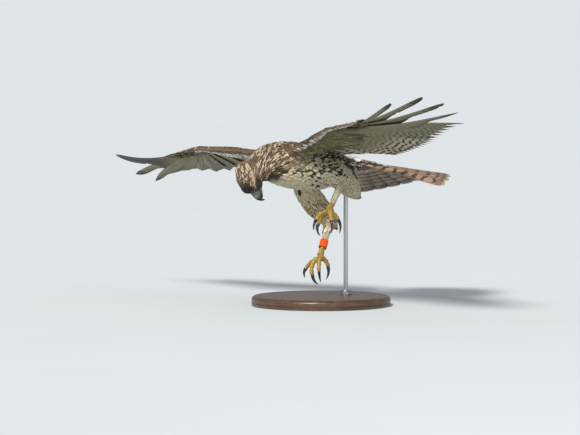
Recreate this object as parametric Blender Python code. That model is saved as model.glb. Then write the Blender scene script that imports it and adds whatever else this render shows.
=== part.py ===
"""Red-tailed hawk, life size, in level flight with its legs down, held by a
plain display stand.

Every piece of the bird is drawn in the bird's own frame, in metres from the
middle of the shoulders: (forward, left, up).  at() turns that into local
coordinates, and the empty hawk_pose puts the bird on its stand, banked a
little towards its right side.
"""
import math

import bmesh
import bpy
from mathutils import Matrix, Vector

for old in list(bpy.data.objects):
    bpy.data.objects.remove(old, do_unlink=True)

GAP = 0.0003            # clearance between pieces that touch
MM = 0.001

# ------------------------------------------------------------------ the pose
VIEW_AZIMUTH = math.radians(-32.0)   # side from which the bank is seen square
BANK = math.radians(10.0)
SHOULDER_HEIGHT = 0.300              # shoulders over the floor
STAND_TO_SHOULDER = 0.095            # shoulders ahead of the stand's centre


def at(forward, left, up):
    return Vector((-forward, -left, up))


# ------------------------------------------------------------- small helpers
def lerp(a, b, t):
    return a + (b - a) * t


def ease(t):
    t = min(1.0, max(0.0, t))
    return t * t * (3.0 - 2.0 * t)


def table(pairs, x):
    """Piecewise linear value of a short table of (x, value) pairs."""
    if x <= pairs[0][0]:
        return pairs[0][1]
    for (x0, y0), (x1, y1) in zip(pairs, pairs[1:]):
        if x <= x1:
            return lerp(y0, y1, (x - x0) / (x1 - x0))
    return pairs[-1][1]


def smooth_stations(stations, steps):
    """Catmull-Rom through stations (tuples), `steps` intervals between each."""
    out = []
    last = len(stations) - 1
    for i in range(last):
        p0, p1, p2, p3 = (stations[max(0, min(last, i + k))] for k in (-1, 0, 1, 2))
        for s in range(steps):
            t = s / steps
            out.append(tuple(
                0.5 * (2 * b + (c - a) * t + (2 * a - 5 * b + 4 * c - d) * t * t
                       + (3 * b - a - 3 * c + d) * t ** 3)
                for a, b, c, d in zip(p0, p1, p2, p3)))
    out.append(tuple(stations[-1]))
    return out


def material(name, colour, roughness, metallic=0.0):
    m = bpy.data.materials.new(name)
    m.use_nodes = True
    b = m.node_tree.nodes["Principled BSDF"]
    b.inputs["Base Color"].default_value = (*colour, 1.0)
    b.inputs["Roughness"].default_value = roughness
    b.inputs["Metallic"].default_value = metallic
    m.diffuse_color = (*colour, 1.0)
    return m


pose = bpy.data.objects.new("hawk_pose", None)
bpy.context.collection.objects.link(pose)
pose.matrix_world = (
    Matrix.Translation((-STAND_TO_SHOULDER, 0.0, SHOULDER_HEIGHT))
    @ Matrix.Rotation(-BANK, 4, (math.cos(VIEW_AZIMUTH), math.sin(VIEW_AZIMUTH), 0.0)))


def finish(name, bm, mat, parent=pose, sharp=45.0):
    bmesh.ops.recalc_face_normals(bm, faces=bm.faces[:])
    mesh = bpy.data.meshes.new(name)
    bm.to_mesh(mesh)
    bm.free()
    mesh.shade_smooth()
    mesh.set_sharp_from_angle(angle=math.radians(sharp))
    if mat:
        mesh.materials.append(mat)
    obj = bpy.data.objects.new(name, mesh)
    bpy.context.collection.objects.link(obj)
    obj.parent = parent
    return obj


def loft(name, rings, mat, tip=False, parent=pose):
    """A closed solid through rings of equal count, with a flat start cap and
    a flat or pointed end."""
    bm = bmesh.new()
    loops = [[bm.verts.new(p) for p in ring] for ring in rings]
    n = len(loops[0])
    for a, b in zip(loops, loops[1:]):
        for i in range(n):
            j = (i + 1) % n
            bm.faces.new((a[i], a[j], b[j], b[i]))
    bm.faces.new(loops[0][::-1])
    if tip:
        end = bm.verts.new(tip)
        for i in range(n):
            bm.faces.new((loops[-1][i], loops[-1][(i + 1) % n], end))
    else:
        bm.faces.new(loops[-1])
    return finish(name, bm, mat, parent)


def oval(centre, side, up, half_side, half_up, half_down, count, square=2.0):
    ring = []
    for i in range(count):
        a = 2 * math.pi * i / count
        c, s = math.cos(a), math.sin(a)
        c = math.copysign(abs(c) ** (2 / square), c)
        s = math.copysign(abs(s) ** (2 / square), s)
        ring.append(centre + side * (half_side * c)
                    + up * ((half_up if s > 0 else half_down) * s))
    return ring


def guide(obj):
    obj.hide_render = True
    obj.display_type = 'WIRE'
    return obj


def cut(obj, cutter):
    m = obj.modifiers.new("cut_" + cutter.name, 'BOOLEAN')
    m.operation = 'DIFFERENCE'
    m.solver = 'EXACT'
    m.object = cutter


def join_to(obj, piece):
    m = obj.modifiers.new("join_" + piece.name, 'BOOLEAN')
    m.operation = 'UNION'
    m.solver = 'EXACT'
    m.object = piece


# ------------------------------------------------------------------ materials
STREAKED = material("hawk_streaked_feather", (0.210, 0.150, 0.095), 0.80)
BUFF = material("hawk_buff_feather", (0.560, 0.500, 0.390), 0.85)
OLIVE = material("hawk_underwing_feather", (0.200, 0.185, 0.125), 0.75)
RUFOUS = material("hawk_rufous_feather", (0.440, 0.230, 0.130), 0.70)
YELLOW = material("hawk_yellow_scale", (0.640, 0.430, 0.090), 0.50)
CERE = material("hawk_cere", (0.270, 0.280, 0.160), 0.45)
HORN = material("hawk_grey_horn", (0.075, 0.078, 0.085), 0.35)
CLAW = material("hawk_black_claw", (0.010, 0.010, 0.011), 0.25)
EYE = material("hawk_brown_eye", (0.085, 0.045, 0.020), 0.08)
ORANGE = material("band_orange", (0.780, 0.120, 0.012), 0.45)
WOOD = material("stand_dark_wood", (0.060, 0.038, 0.026), 0.45)
STEEL = material("stand_steel", (0.480, 0.480, 0.490), 0.35, 1.0)

# ----------------------------------------------------------------- the trunk
# forward, up, half width, half height above and below the axis, pitch (deg)
# of the axis below the horizontal
TRUNK = [
    (-0.1720, +0.0010, 0.0260, 0.0130, 0.0165, 0.0),
    (-0.1500, -0.0030, 0.0345, 0.0180, 0.0290, 0.0),
    (-0.1250, -0.0080, 0.0440, 0.0265, 0.0400, 0.0),
    (-0.0900, -0.0120, 0.0510, 0.0385, 0.0475, 0.0),
    (-0.0550, -0.0140, 0.0535, 0.0460, 0.0480, 0.0),
    (-0.0200, -0.0140, 0.0525, 0.0485, 0.0455, 2.0),
    (+0.0100, -0.0140, 0.0470, 0.0460, 0.0410, 8.0),
    (+0.0290, -0.0165, 0.0405, 0.0405, 0.0345, 20.0),
]
NECK = [
    (+0.0290, -0.0165, 0.0405, 0.0405, 0.0345, 20.0),
    (+0.0430, -0.0225, 0.0350, 0.0350, 0.0290, 33.0),
    (+0.0560, -0.0310, 0.0300, 0.0300, 0.0260, 47.0),
    (+0.0660, -0.0410, 0.0250, 0.0250, 0.0215, 62.0),
]
SIDE = at(0, 1, 0)


def body_rings(stations, steps, count, grow=0.0, trim_start=0.0, trim_end=0.0):
    rings = []
    rows = smooth_stations(stations, steps)
    for i, (f, u, w, top, bottom, pitch) in enumerate(rows):
        p = math.radians(pitch)
        along = at(math.cos(p), 0, -math.sin(p))
        up = at(math.sin(p), 0, math.cos(p))
        centre = at(f, 0, u)
        if i == 0:
            centre += along * trim_start
        if i == len(rows) - 1:
            centre -= along * trim_end
        rings.append(oval(centre, SIDE, up, w + grow, top + grow, bottom + grow,
                          count, 2.15))
    return rings


trunk = loft("hawk_trunk", body_rings(TRUNK, 2, 16), BUFF)
trunk_room = guide(loft("guide_trunk", body_rings(TRUNK, 2, 16, GAP), None))
neck = loft("hawk_neck", body_rings(NECK, 2, 16, 0.0, GAP), STREAKED)
neck_room = guide(loft("guide_neck", body_rings(NECK, 2, 16, GAP), None))

# ------------------------------------------------------------------ the head
# The head hangs, the bill down and a little back; HEAD_ALONG runs from the
# nape to the bill, HEAD_UP to the crown, turned a little to the left side.
HEAD_AT = at(0.0721, 0.0010, -0.0475)
HEAD_TURN = math.radians(10.0)
HEAD_ALONG = at(-0.45, 0.0, -0.893).normalized()
_crown = at(0.893, 0.0, -0.45)
_left = at(0, 1, 0)
HEAD_UP = (_crown * math.cos(HEAD_TURN) + _left * math.sin(HEAD_TURN)).normalized()
HEAD_LEFT = (_left * math.cos(HEAD_TURN) - _crown * math.sin(HEAD_TURN)).normalized()


def head(a, b, left=0.0):
    """A point of the head, in mm along it, towards the crown and to the left."""
    return HEAD_AT + (HEAD_ALONG * a + HEAD_UP * b + HEAD_LEFT * left) * MM


# mm along the head, half width, half height to the crown and to the throat
HEAD = [
    (-34.5, 8.0, 8.5, 9.0),
    (-31.5, 15.0, 15.5, 16.0),
    (-24.5, 21.0, 22.0, 22.5),
    (-13.0, 25.0, 26.5, 26.0),
    (-1.0, 25.8, 27.2, 25.5),
    (+9.0, 24.0, 25.0, 22.5),
    (+17.0, 20.2, 20.6, 18.6),
    (+23.0, 15.0, 15.6, 15.6),
    (+26.5, 10.6, 11.6, 14.4),
]


def head_rings(grow=0.0):
    rows = smooth_stations(HEAD, 1)
    rings = []
    for i, (a, w, crown, throat) in enumerate(rows):
        shift = -grow if i == 0 else grow if i == len(rows) - 1 else 0.0
        rings.append(oval(head(a, 0) + HEAD_ALONG * shift, HEAD_LEFT, HEAD_UP,
                          w * MM + grow, crown * MM + grow, throat * MM + grow, 16, 2.1))
    return rings


skull = loft("hawk_head", head_rings(), STREAKED)
head_room = guide(loft("guide_head", head_rings(GAP), None))
cut(neck, head_room)

EYE_RADIUS = 0.0088
EYE_ALONG, EYE_CROWN, EYE_SIDE = 16.5, 5.0, 12.6      # mm in the head's frame


def ball(name, centre, radius, mat, u=12, v=7):
    bm = bmesh.new()
    bmesh.ops.create_uvsphere(bm, u_segments=u, v_segments=v, radius=radius)
    bmesh.ops.translate(bm, verts=bm.verts[:], vec=centre)
    return finish(name, bm, mat, sharp=180.0)


for side, name in ((1, "left"), (-1, "right")):
    centre = head(EYE_ALONG, EYE_CROWN, side * EYE_SIDE)
    ball("hawk_eye_" + name, centre, EYE_RADIUS, EYE)
    cut(skull, guide(ball("guide_eye_" + name, centre, EYE_RADIUS + GAP, None)))

# ------------------------------------------------------------------ the bill
# culmen point, cutting-edge point (mm along, mm to the crown), half width
UPPER_BILL = [
    ((26.8, 11.0), (26.8, -6.0), 9.6),
    ((30.8, 10.1), (30.8, -6.3), 8.7),
    ((34.8, 9.0), (34.9, -6.5), 7.3),
    ((39.6, 6.8), (39.3, -6.6), 6.0),
    ((44.2, 2.8), (42.6, -6.9), 4.8),
    ((47.8, -2.4), (44.8, -8.0), 3.5),
    ((50.0, -8.0), (46.8, -10.4), 2.3),
    ((50.6, -12.2), (48.5, -12.9), 1.2),
]
BILL_TIP = (49.9, -15.4)
CERE_END = 2
LOWER_BILL = [
    ((26.8, -6.9), (26.8, -14.2), 7.6),
    ((33.0, -7.2), (33.0, -13.2), 6.3),
    ((39.0, -7.4), (39.0, -11.8), 4.8),
    ((43.0, -8.2), (43.0, -10.4), 3.0),
]


def bill_rings(rows, count):
    rings = []
    for (a0, b0), (a1, b1), w in rows:
        top, bottom = head(a0, b0), head(a1, b1)
        middle, half = (top + bottom) / 2, (top - bottom).length / 2
        rings.append(oval(middle, HEAD_LEFT, (top - bottom).normalized(),
                          w * MM, half, half, count, 2.2))
    return rings


cere = bill_rings(UPPER_BILL[:CERE_END + 1], 12)
cere[-1] = [p - HEAD_ALONG * GAP for p in cere[-1]]
loft("hawk_cere", cere, CERE)
loft("hawk_bill_upper", bill_rings(UPPER_BILL[CERE_END:], 12), HORN,
     tip=head(*BILL_TIP))
loft("hawk_bill_lower", bill_rings(LOWER_BILL, 9), HORN, tip=head(44.6, -9.0))

# ----------------------------------------------------------------- the wings
# The arm: shoulder, elbow, wrist and tip of the hand of the left wing
SHOULDER = (0.000, 0.042, 0.004)
ELBOW = (-0.028, 0.128, 0.015)
WRIST = (0.030, 0.220, 0.028)
HAND = (0.015, 0.307, 0.032)
# the right wing: wrist and hand further forward, the outer feathers swept back
RIGHT_WRIST = (0.055, 0.217, 0.037)
RIGHT_HAND = (0.033, 0.303, 0.040)

# leading edge of the wing from the body to the wrist: left -> forward, up
EDGE_FORWARD = [(0.030, 0.020), (0.045, 0.015), (0.085, 0.008), (0.140, 0.016),
                (0.180, 0.028), (0.216, 0.040)]
EDGE_UP = [(0.030, 0.000), (0.045, 0.004), (0.085, 0.018), (0.140, 0.026),
           (0.216, 0.026)]

PRIMARIES, SECONDARIES, TERTIALS = 10, 12, 3
# primary number -> length, direction (deg back from straight out), tip height
PRIMARY_LENGTH = [(1, .216), (2, .221), (3, .228), (4, .241), (5, .264),
                  (6, .298), (7, .310), (8, .304), (9, .279), (10, .220)]
PRIMARY_BACK = [(1, 53.5), (2, 46.0), (3, 38.5), (4, 31.0), (5, 24.0),
                (6, 17.5), (7, 10.0), (8, 2.5), (9, -5.5), (10, -16.5)]
PRIMARY_TIP_UP = [(1, .014), (5, .0150), (6, .014), (7, .029), (8, .043),
                  (9, .054), (10, .046)]
RIGHT_SWEEP = [(1, 0.5), (5, 3.0), (6, 3.3), (7, 6.3), (8, 6.0), (9, 2.7), (10, 4.0)]
RIGHT_LIFT = [(1, .006), (3, .006), (4, .011), (5, .0165), (6, .017), (7, -.015),
              (8, -.016), (9, .008), (10, .010)]
# how far the middle of a right primary is lifted off the straight line
RIGHT_SAG = {7: 0.0, 8: 0.0, 9: -0.052, 10: -0.052}
# share of the feather's length at which the slot to the next one out opens
SLOT = {9: 0.18, 8: 0.34, 7: 0.50, 6: 0.66, 5: 0.82}

SHARES = (0.18, 0.34, 0.50, 0.66, 0.82, 0.94, 1.0)
LEAD_ROWS = 3           # leading edge, middle of the forearm skin, feather root


def mix(a, b, t):
    return tuple(lerp(x, y, t) for x, y in zip(a, b))


def flight_feathers(mirror):
    """One dict per flight feather from the wing tip to the body."""
    right = mirror < 0
    wrist, hand = (RIGHT_WRIST, RIGHT_HAND) if right else (WRIST, HAND)
    out = []
    for k in range(PRIMARIES, 0, -1):
        root = mix(wrist, hand, (k - 1) / (PRIMARIES - 1.0))
        out.append(dict(kind="P", number=k, root=root,
                        edge=(root[0] + 0.010 + 0.007 * math.sin(math.pi * k / 10.5),
                              root[1] + 0.003, root[2] - 0.001),
                        length=table(PRIMARY_LENGTH, k),
                        back=table(PRIMARY_BACK, k)
                        + (table(RIGHT_SWEEP, k) if right else 0.0),
                        tip_up=table(PRIMARY_TIP_UP, k)
                        + (table(RIGHT_LIFT, k) if right else 0.0),
                        slot=SLOT.get(k, 0.88),
                        sag=RIGHT_SAG[k] if right and k > 6
                        else (-0.030 if k > 6
                              else lerp(0.030, -0.010 if right else 0.010, k / 6.0))))
    for k in range(1, SECONDARIES + 1):
        s = (k - 0.5) / SECONDARIES
        root = mix(wrist, ELBOW, s)
        left = lerp(0.212, 0.106, s)
        out.append(dict(kind="S", number=k, root=root,
                        edge=(table(EDGE_FORWARD, left) + (wrist[0] - WRIST[0]) * (1 - s),
                              left, table(EDGE_UP, left) + (wrist[2] - WRIST[2]) * (1 - s)),
                        length=lerp(0.212, 0.180, s),
                        back=59.0 + 38.5 * (1.22 * s - 0.22 * s * s),
                        tip_up=0.0130 + (0.005 * (1 - s) if right else 0.0),
                        slot=0.95, sag=0.045))
    for k in range(1, TERTIALS + 1):
        s = k / (TERTIALS + 1.0)
        root = mix(ELBOW, SHOULDER, 0.85 * s)
        left = lerp(0.100, 0.046, s)
        out.append(dict(kind="T", number=k, root=root,
                        edge=(table(EDGE_FORWARD, left), left, table(EDGE_UP, left)),
                        length=lerp(0.178, 0.118, s), back=98.5 + 7 * s,
                        tip_up=0.012, slot=0.95, sag=0.050))
    return out


def shaft(feather, t):
    """The feather's shaft, its share t of the way from root to tip."""
    f, l, u = feather["root"]
    a = math.radians(feather["back"])
    length = feather["length"]
    bow = math.sin(math.pi * min(1.0, t)) * length
    bend = 0.030 if feather["kind"] == "P" else -0.012
    df, dl = -math.sin(a), math.cos(a)
    f += df * length * t + math.cos(a) * bend * bow
    l += dl * length * t + math.sin(a) * bend * bow
    u += (feather["tip_up"] - u) * t + feather["sag"] * bow
    return (f, l, u)


def vane_half_widths(feather, t):
    """Leading and trailing half of the blade where it stands free."""
    if feather["kind"] == "P" and feather["number"] > 5:
        lead, trail = 0.0060, 0.0215 - 0.0009 * feather["number"]
    elif feather["kind"] == "P":
        lead, trail = 0.0090, 0.0190
    else:
        lead, trail = 0.0110, 0.0165
    if feather["number"] == 10:
        lead += 0.0065 * max(0.0, 1.0 - t / 0.5)       # the alula lies along it
    end = math.sqrt(max(0.0, 1.0 - max(0.0, (t - 0.80) / 0.225) ** 2))
    return lead * end, trail * end


def wing_thickness(feather, row, t):
    """Height of the upper and lower surface over the feather plane."""
    number = feather["number"]
    arm = {"P": lerp(0.50, 0.34, (number - 1) / 9.0),
           "S": lerp(0.52, 1.00, ease(number / 8.0)),
           "T": 1.05}[feather["kind"]]
    if row == 0:
        return 0.0022 * arm, 0.0022 * arm
    if row == 1:
        return 0.0100 * arm, 0.0055 * arm
    if row == 2:
        return 0.0105 * arm, 0.0070 * arm
    fade = max(0.0, 1.0 - t / 0.62)
    return (0.0009 + 0.0090 * arm * fade ** 1.5,
            0.0009 + 0.0055 * arm * fade ** 1.5)


def thick_sheet(name, points, faces, mat, mirror=1):
    """A closed shell: points is a list of (upper, lower) pairs of vectors."""
    bm = bmesh.new()
    top = [bm.verts.new(p[0]) for p in points]
    low = [bm.verts.new(p[1]) for p in points]
    seen = {}
    for face in faces:
        bm.faces.new([top[i] for i in face])
        bm.faces.new([low[i] for i in reversed(face)])
        for a, b in zip(face, face[1:] + face[:1]):
            seen[(a, b)] = True
    for a, b in list(seen):
        if (b, a) not in seen:
            bm.faces.new((top[a], low[a], low[b], top[b]))
    return finish(name, bm, mat, sharp=35.0)


def fan_sheet(name, columns, slots, mat):
    """columns: per feather a list over rows of three (upper, lower) pairs for
    its leading edge, shaft and trailing edge.  Next-door feathers share an
    edge up to the slot's row."""
    points, faces = [], []
    rows = len(columns[0])
    index = {}
    for c, column in enumerate(columns):
        for r, (lead, middle, trail) in enumerate(column):
            if c and r <= slots[c - 1]:
                index[c, r, 0] = index[c - 1, r, 2]
            else:
                index[c, r, 0] = len(points)
                points.append(lead)
            index[c, r, 1] = len(points)
            points.append(middle)
            if c + 1 < len(columns) and r <= slots[c]:
                other = columns[c + 1][r][0]
                trail = tuple((a + b) / 2 for a, b in zip(trail, other))
            index[c, r, 2] = len(points)
            points.append(trail)
    for c in range(len(columns)):
        for r in range(rows - 1):
            for e in (0, 1):
                faces.append([index[c, r, e], index[c, r, e + 1],
                              index[c, r + 1, e + 1], index[c, r + 1, e]])
    return thick_sheet(name, points, faces, mat)


def wing(name, mirror):
    feathers = flight_feathers(mirror)
    count = len(feathers)

    def middle(i, row):
        feather = feathers[i]
        if row == 0:
            return feather["edge"]
        if row == 1:
            f, l, u = mix(feather["edge"], feather["root"], 0.5)
            return (f, l, u + 0.002)
        if row == 2:
            return feather["root"]
        return shaft(feather, SHARES[row - LEAD_ROWS])

    def pair(p, feather, row, t, tilt=0.0):
        upper, lower = wing_thickness(feather, row, t)
        f, l, u = p
        return (at(f, mirror * l, u + upper + tilt), at(f, mirror * l, u - lower + tilt))

    rows = LEAD_ROWS + len(SHARES)
    slots = []
    for i in range(count - 1):
        inner = feathers[i + 1]
        share = inner["slot"] if feathers[i]["kind"] == "P" and inner["kind"] == "P" \
            else 0.95
        slots.append(LEAD_ROWS + min(range(len(SHARES)),
                                     key=lambda k: abs(SHARES[k] - share)))
    columns = []
    for i, feather in enumerate(feathers):
        column = []
        for row in range(rows):
            t = SHARES[row - LEAD_ROWS] if row >= LEAD_ROWS else 0.0
            m = middle(i, row)
            lead_w, trail_w = vane_half_widths(feather, t)
            a = math.radians(feather["back"])
            across = (math.cos(a), math.sin(a))      # forward, left, at right angles
            free_lead = (m[0] + across[0] * lead_w, m[1] + across[1] * lead_w, m[2])
            free_trail = (m[0] - across[0] * trail_w, m[1] - across[1] * trail_w, m[2])
            if i and row <= slots[i - 1]:
                lead = mix(m, middle(i - 1, row), 0.35)
            elif i == 0 and row < LEAD_ROWS:
                lead = (m[0] + 0.006, m[1] + 0.008, m[2])
            else:
                lead = free_lead
            if i + 1 < count and row <= slots[i]:
                trail = mix(middle(i + 1, row), m, 0.35)
            elif i + 1 == count:
                trail = (m[0], m[1] - 0.022, m[2])
            else:
                trail = free_trail
            column.append(tuple(pair(p, feather, row, t) for p in (lead, m, trail)))
        columns.append(column)
    obj = fan_sheet(name, columns, slots, OLIVE)
    cut(obj, trunk_room)
    cut(obj, neck_room)
    return obj


wing_left = wing("hawk_wing_left", 1)
wing_right = wing("hawk_wing_right", -1)

# ------------------------------------------------------------------ the tail
TAIL_ROOT = (-0.1720 - GAP, 0.0, 0.0010)
TAIL_FEATHERS = 12
TAIL_SPREAD = 47.0               # degrees to each side
TAIL_LENGTH = 0.200
TAIL_SHARES = (0.0, 0.20, 0.50, 0.90, 0.97, 1.0)


def tail_point(angle_deg, t):
    """The share t along a tail feather that is spread by the angle."""
    a = math.radians(angle_deg)
    spread = angle_deg / TAIL_SPREAD
    base_left = 0.0120 * spread + 0.0095 * spread * math.exp(-9.0 * t)
    r = TAIL_LENGTH * t * (1.0 - 0.09 * spread * spread)
    # the fan is arched, and its left half hangs lower than the right one
    hang = 0.0377 * spread ** 2 if spread > 0 else 0.0235 * abs(spread)
    drop = (0.012 + hang) * (0.75 * t + 0.25 * t * t)
    return (TAIL_ROOT[0] - r * math.cos(a) * (1.0 - 0.0 * t),
            base_left + r * math.sin(a), TAIL_ROOT[2] - drop)


def tail():
    step = 2 * TAIL_SPREAD / (TAIL_FEATHERS - 1)
    angles = [TAIL_SPREAD - step * i for i in range(TAIL_FEATHERS)]
    columns, slots = [], []
    for i, angle in enumerate(angles):
        column = []
        for row, t in enumerate(TAIL_SHARES):
            end = math.sqrt(max(0.0, 1 - max(0.0, (t - 0.84) / 0.175) ** 2))
            entries = []
            for e in (0.5, 0.0, -0.5):
                if t <= 0.90 or e == 0.0:
                    turn = angle + e * step
                    p = tail_point(turn, t)
                    if row == 0:
                        p = (TAIL_ROOT[0], 0.0248 * (angle + e * step)
                             / (TAIL_SPREAD + step / 2), p[2])
                else:
                    q = tail_point(angle, t)
                    wide = 2 * e * 0.0155 * max(0.22, end)
                    a = math.radians(angle)
                    p = (q[0] + math.sin(a) * wide, q[1] + math.cos(a) * wide, q[2])
                across = (angle + e * step) / (TAIL_SPREAD + step / 2)
                dome = math.sqrt(max(0.04, 1.0 - across * across * 0.97))
                fade = max(0.0, 1.0 - t / 0.40)
                upper = 0.0009 + 0.0112 * dome * fade ** 1.4
                lower = 0.0009 + 0.0146 * dome * fade ** 1.2
                f, l, u = p
                entries.append((at(f, l, u + upper), at(f, l, u - lower)))
            column.append(tuple(entries))
        columns.append(column)
        slots.append(TAIL_SHARES.index(0.90))
    return fan_sheet("hawk_tail", columns, slots[:-1], RUFOUS)


tail()

# ------------------------------------------------------------------ the legs
# thigh stations: forward, left, up, half height above and below, half width
THIGH_LEFT = [
    (-0.0500, +0.036, -0.0220, 0.0160, 0.0200, 0.0180),
    (-0.0720, +0.041, -0.0240, 0.0210, 0.0240, 0.0220),
    (-0.0960, +0.045, -0.0290, 0.0250, 0.0270, 0.0235),
    (-0.1180, +0.047, -0.0400, 0.0270, 0.0270, 0.0225),
    (-0.1330, +0.049, -0.0555, 0.0240, 0.0220, 0.0185),
    (-0.1440, +0.050, -0.0670, 0.0155, 0.0150, 0.0130),
    (-0.1520, +0.050, -0.0745, 0.0060, 0.0060, 0.0055),
]
THIGH_RIGHT = [
    (-0.0640, -0.031, -0.0270, 0.0190, 0.0190, 0.0170),
    (-0.0740, -0.034, -0.0450, 0.0240, 0.0230, 0.0210),
    (-0.0850, -0.036, -0.0610, 0.0255, 0.0255, 0.0220),
    (-0.1030, -0.037, -0.0810, 0.0265, 0.0265, 0.0215),
    (-0.1270, -0.038, -0.1010, 0.0225, 0.0225, 0.0185),
    (-0.1420, -0.039, -0.1150, 0.0165, 0.0160, 0.0135),
    (-0.1540, -0.040, -0.1270, 0.0070, 0.0065, 0.0055),
]


def frames(points):
    """Unit tangents along a list of points."""
    out = []
    for i in range(len(points)):
        a, b = points[max(0, i - 1)], points[min(len(points) - 1, i + 1)]
        out.append((b - a).normalized())
    return out


def thigh(name, stations, grow=0.0, mat=None):
    rows = smooth_stations(stations, 1)
    centres = [at(*r[:3]) for r in rows]
    rings = []
    for i, (centre, along, r) in enumerate(zip(centres, frames(centres), rows)):
        side = SIDE - along * SIDE.dot(along)
        side.normalize()
        up = side.cross(along)
        if up.z < 0:
            up = -up
        shift = along * (-grow if i == 0 else grow if i == len(rows) - 1 else 0.0)
        rings.append(oval(centre + shift, side, up, r[5] + grow, r[3] + grow,
                          r[4] + grow, 14, 2.0))
    return loft(name, rings, mat)


thigh_left = thigh("hawk_thigh_left", THIGH_LEFT, mat=BUFF)
thigh_right = thigh("hawk_thigh_right", THIGH_RIGHT, mat=BUFF)
cut(thigh_left, trunk_room)
cut(thigh_right, trunk_room)
thigh_left_room = guide(thigh("guide_thigh_left", THIGH_LEFT, GAP))
thigh_right_room = guide(thigh("guide_thigh_right", THIGH_RIGHT, GAP))
cut(wing_left, thigh_left_room)

ANKLE_LEFT, FOOT_LEFT = (-0.1065, 0.0560, -0.0535), (-0.0604, 0.0847, -0.1086)
ANKLE_RIGHT, FOOT_RIGHT = (-0.1400, -0.0385, -0.1170), (-0.1033, -0.0161, -0.1885)
BAND_AT = 0.67                       # share of the way from ankle to foot
BAND_HEIGHT, BAND_OUTER, BAND_INNER = 0.0180, 0.0084, 0.0064


def tube(name, points, radii, count, mat, tip=None, flat=1.0):
    """A closed tapered tube; flat < 1 squeezes it sideways."""
    tangents = frames(points)
    side = tangents[0].orthogonal().normalized()
    rings = []
    for p, along, r in zip(points, tangents, radii):
        side = (side - along * side.dot(along)).normalized()
        up = along.cross(side)
        rings.append(oval(p, side, up, r * flat, r, r, count))
    return loft(name, rings, mat, tip=tip or False)


def shank(name, ankle, foot, mat, feathered):
    """The tarsus: thick and feathered at the ankle, bare and scaled below."""
    a, b = at(*ankle), at(*foot)
    shares = (0.0, 0.14, 0.30, 0.46, 0.60, 0.72, 0.84, 0.93, 1.0)
    radii = [lerp(feathered, 0.0046, ease(s / 0.58)) if s < 0.58 else
             0.0046 + 0.0022 * ease((s - 0.78) / 0.22) for s in shares]
    return tube(name, [a.lerp(b, s) for s in shares], radii, 10, mat)


tarsus_left = shank("hawk_tarsus_left", ANKLE_LEFT, FOOT_LEFT, YELLOW, 0.0085)
tarsus_right = shank("hawk_tarsus_right", ANKLE_RIGHT, FOOT_RIGHT, YELLOW, 0.0110)
cut(tarsus_left, thigh_left_room)
cut(tarsus_right, thigh_right_room)

# toes: yaw from straight ahead towards the left (deg), pitch below the
# horizontal at the root and at the end, length and root radius of the toe,
# length of the claw and how far it curls
TOES_LEFT = {
    "hallux": (178.0, 8.0, 62.0, 0.0250, 0.0050, 0.0290, 72.0),
    "inner": (-39.0, 20.0, 74.0, 0.0330, 0.0050, 0.0265, 80.0),
    "middle": (13.0, 0.0, 54.0, 0.0430, 0.0048, 0.0235, 66.0),
    "outer": (66.0, 10.0, 66.0, 0.0350, 0.0045, 0.0200, 70.0),
}
TOES_RIGHT = {
    "hallux": (176.0, 5.0, 84.0, 0.0260, 0.0050, 0.0285, 62.0),
    "inner": (42.0, 28.0, 112.0, 0.0320, 0.0050, 0.0260, 50.0),
    "middle": (2.0, 12.0, 112.0, 0.0470, 0.0048, 0.0235, 62.0),
    "outer": (-34.0, 12.0, 62.0, 0.0370, 0.0045, 0.0200, 72.0),
}
TOE_STEPS, CLAW_STEPS = 6, 5


def bow(start, yaw, pitch0, pitch1, length, steps):
    """Points along an arc that starts at `start` and curls downward."""
    points = [start]
    y = math.radians(yaw)
    for i in range(steps):
        p = math.radians(lerp(pitch0, pitch1, (i + 0.5) / steps))
        step = at(math.cos(y) * math.cos(p), math.sin(y) * math.cos(p), -math.sin(p))
        points.append(points[-1] + step * (length / steps))
    return points


def foot(name, centre, toes):
    """A foot of four toes grown together at the root; claws are apart."""
    hub = ball("hawk_foot_" + name, at(*centre) + at(0, 0, -0.0055), 0.0078, YELLOW, 10, 6)
    for toe, (yaw, pitch0, pitch1, length, r, claw, curl) in toes.items():
        root = at(*centre) + at(0, 0, -0.0050)
        points = bow(root, yaw, pitch0, pitch1, length, TOE_STEPS)
        radii = []
        for i in range(len(points)):
            t = i / (len(points) - 1.0)
            pads = 0.0005 * math.cos(t * 3.5 * 2 * math.pi)     # swollen joints
            radii.append(lerp(r, r * 0.78, t) + pads)
        piece = guide(tube("guide_toe_%s_%s" % (toe, name), points, radii, 6, None))
        join_to(hub, piece)
        along = (points[-1] - points[-2]).normalized()
        start = points[-1] + along * GAP
        base_pitch = pitch1 - 14.0
        arc = bow(start, yaw, base_pitch, base_pitch + curl, claw, CLAW_STEPS)
        # the claw's flat root faces the flat end of the toe
        rings, tangents = [], frames(arc)
        tangents[0] = along
        side = at(-math.sin(math.radians(yaw)), math.cos(math.radians(yaw)), 0)
        for i, (p, d) in enumerate(zip(arc[:-1], tangents)):
            t = i / CLAW_STEPS
            rad = 0.0034 * (1 - t) ** 0.8 + 0.0003
            up = d.cross(side).normalized()
            rings.append(oval(p, side, up, rad * 0.80, rad, rad, 6))
        loft("hawk_claw_%s_%s" % (toe, name), rings, CLAW, tip=arc[-1])
    return hub


foot_left = foot("left", FOOT_LEFT, TOES_LEFT)
foot_right = foot("right", FOOT_RIGHT, TOES_RIGHT)


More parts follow.
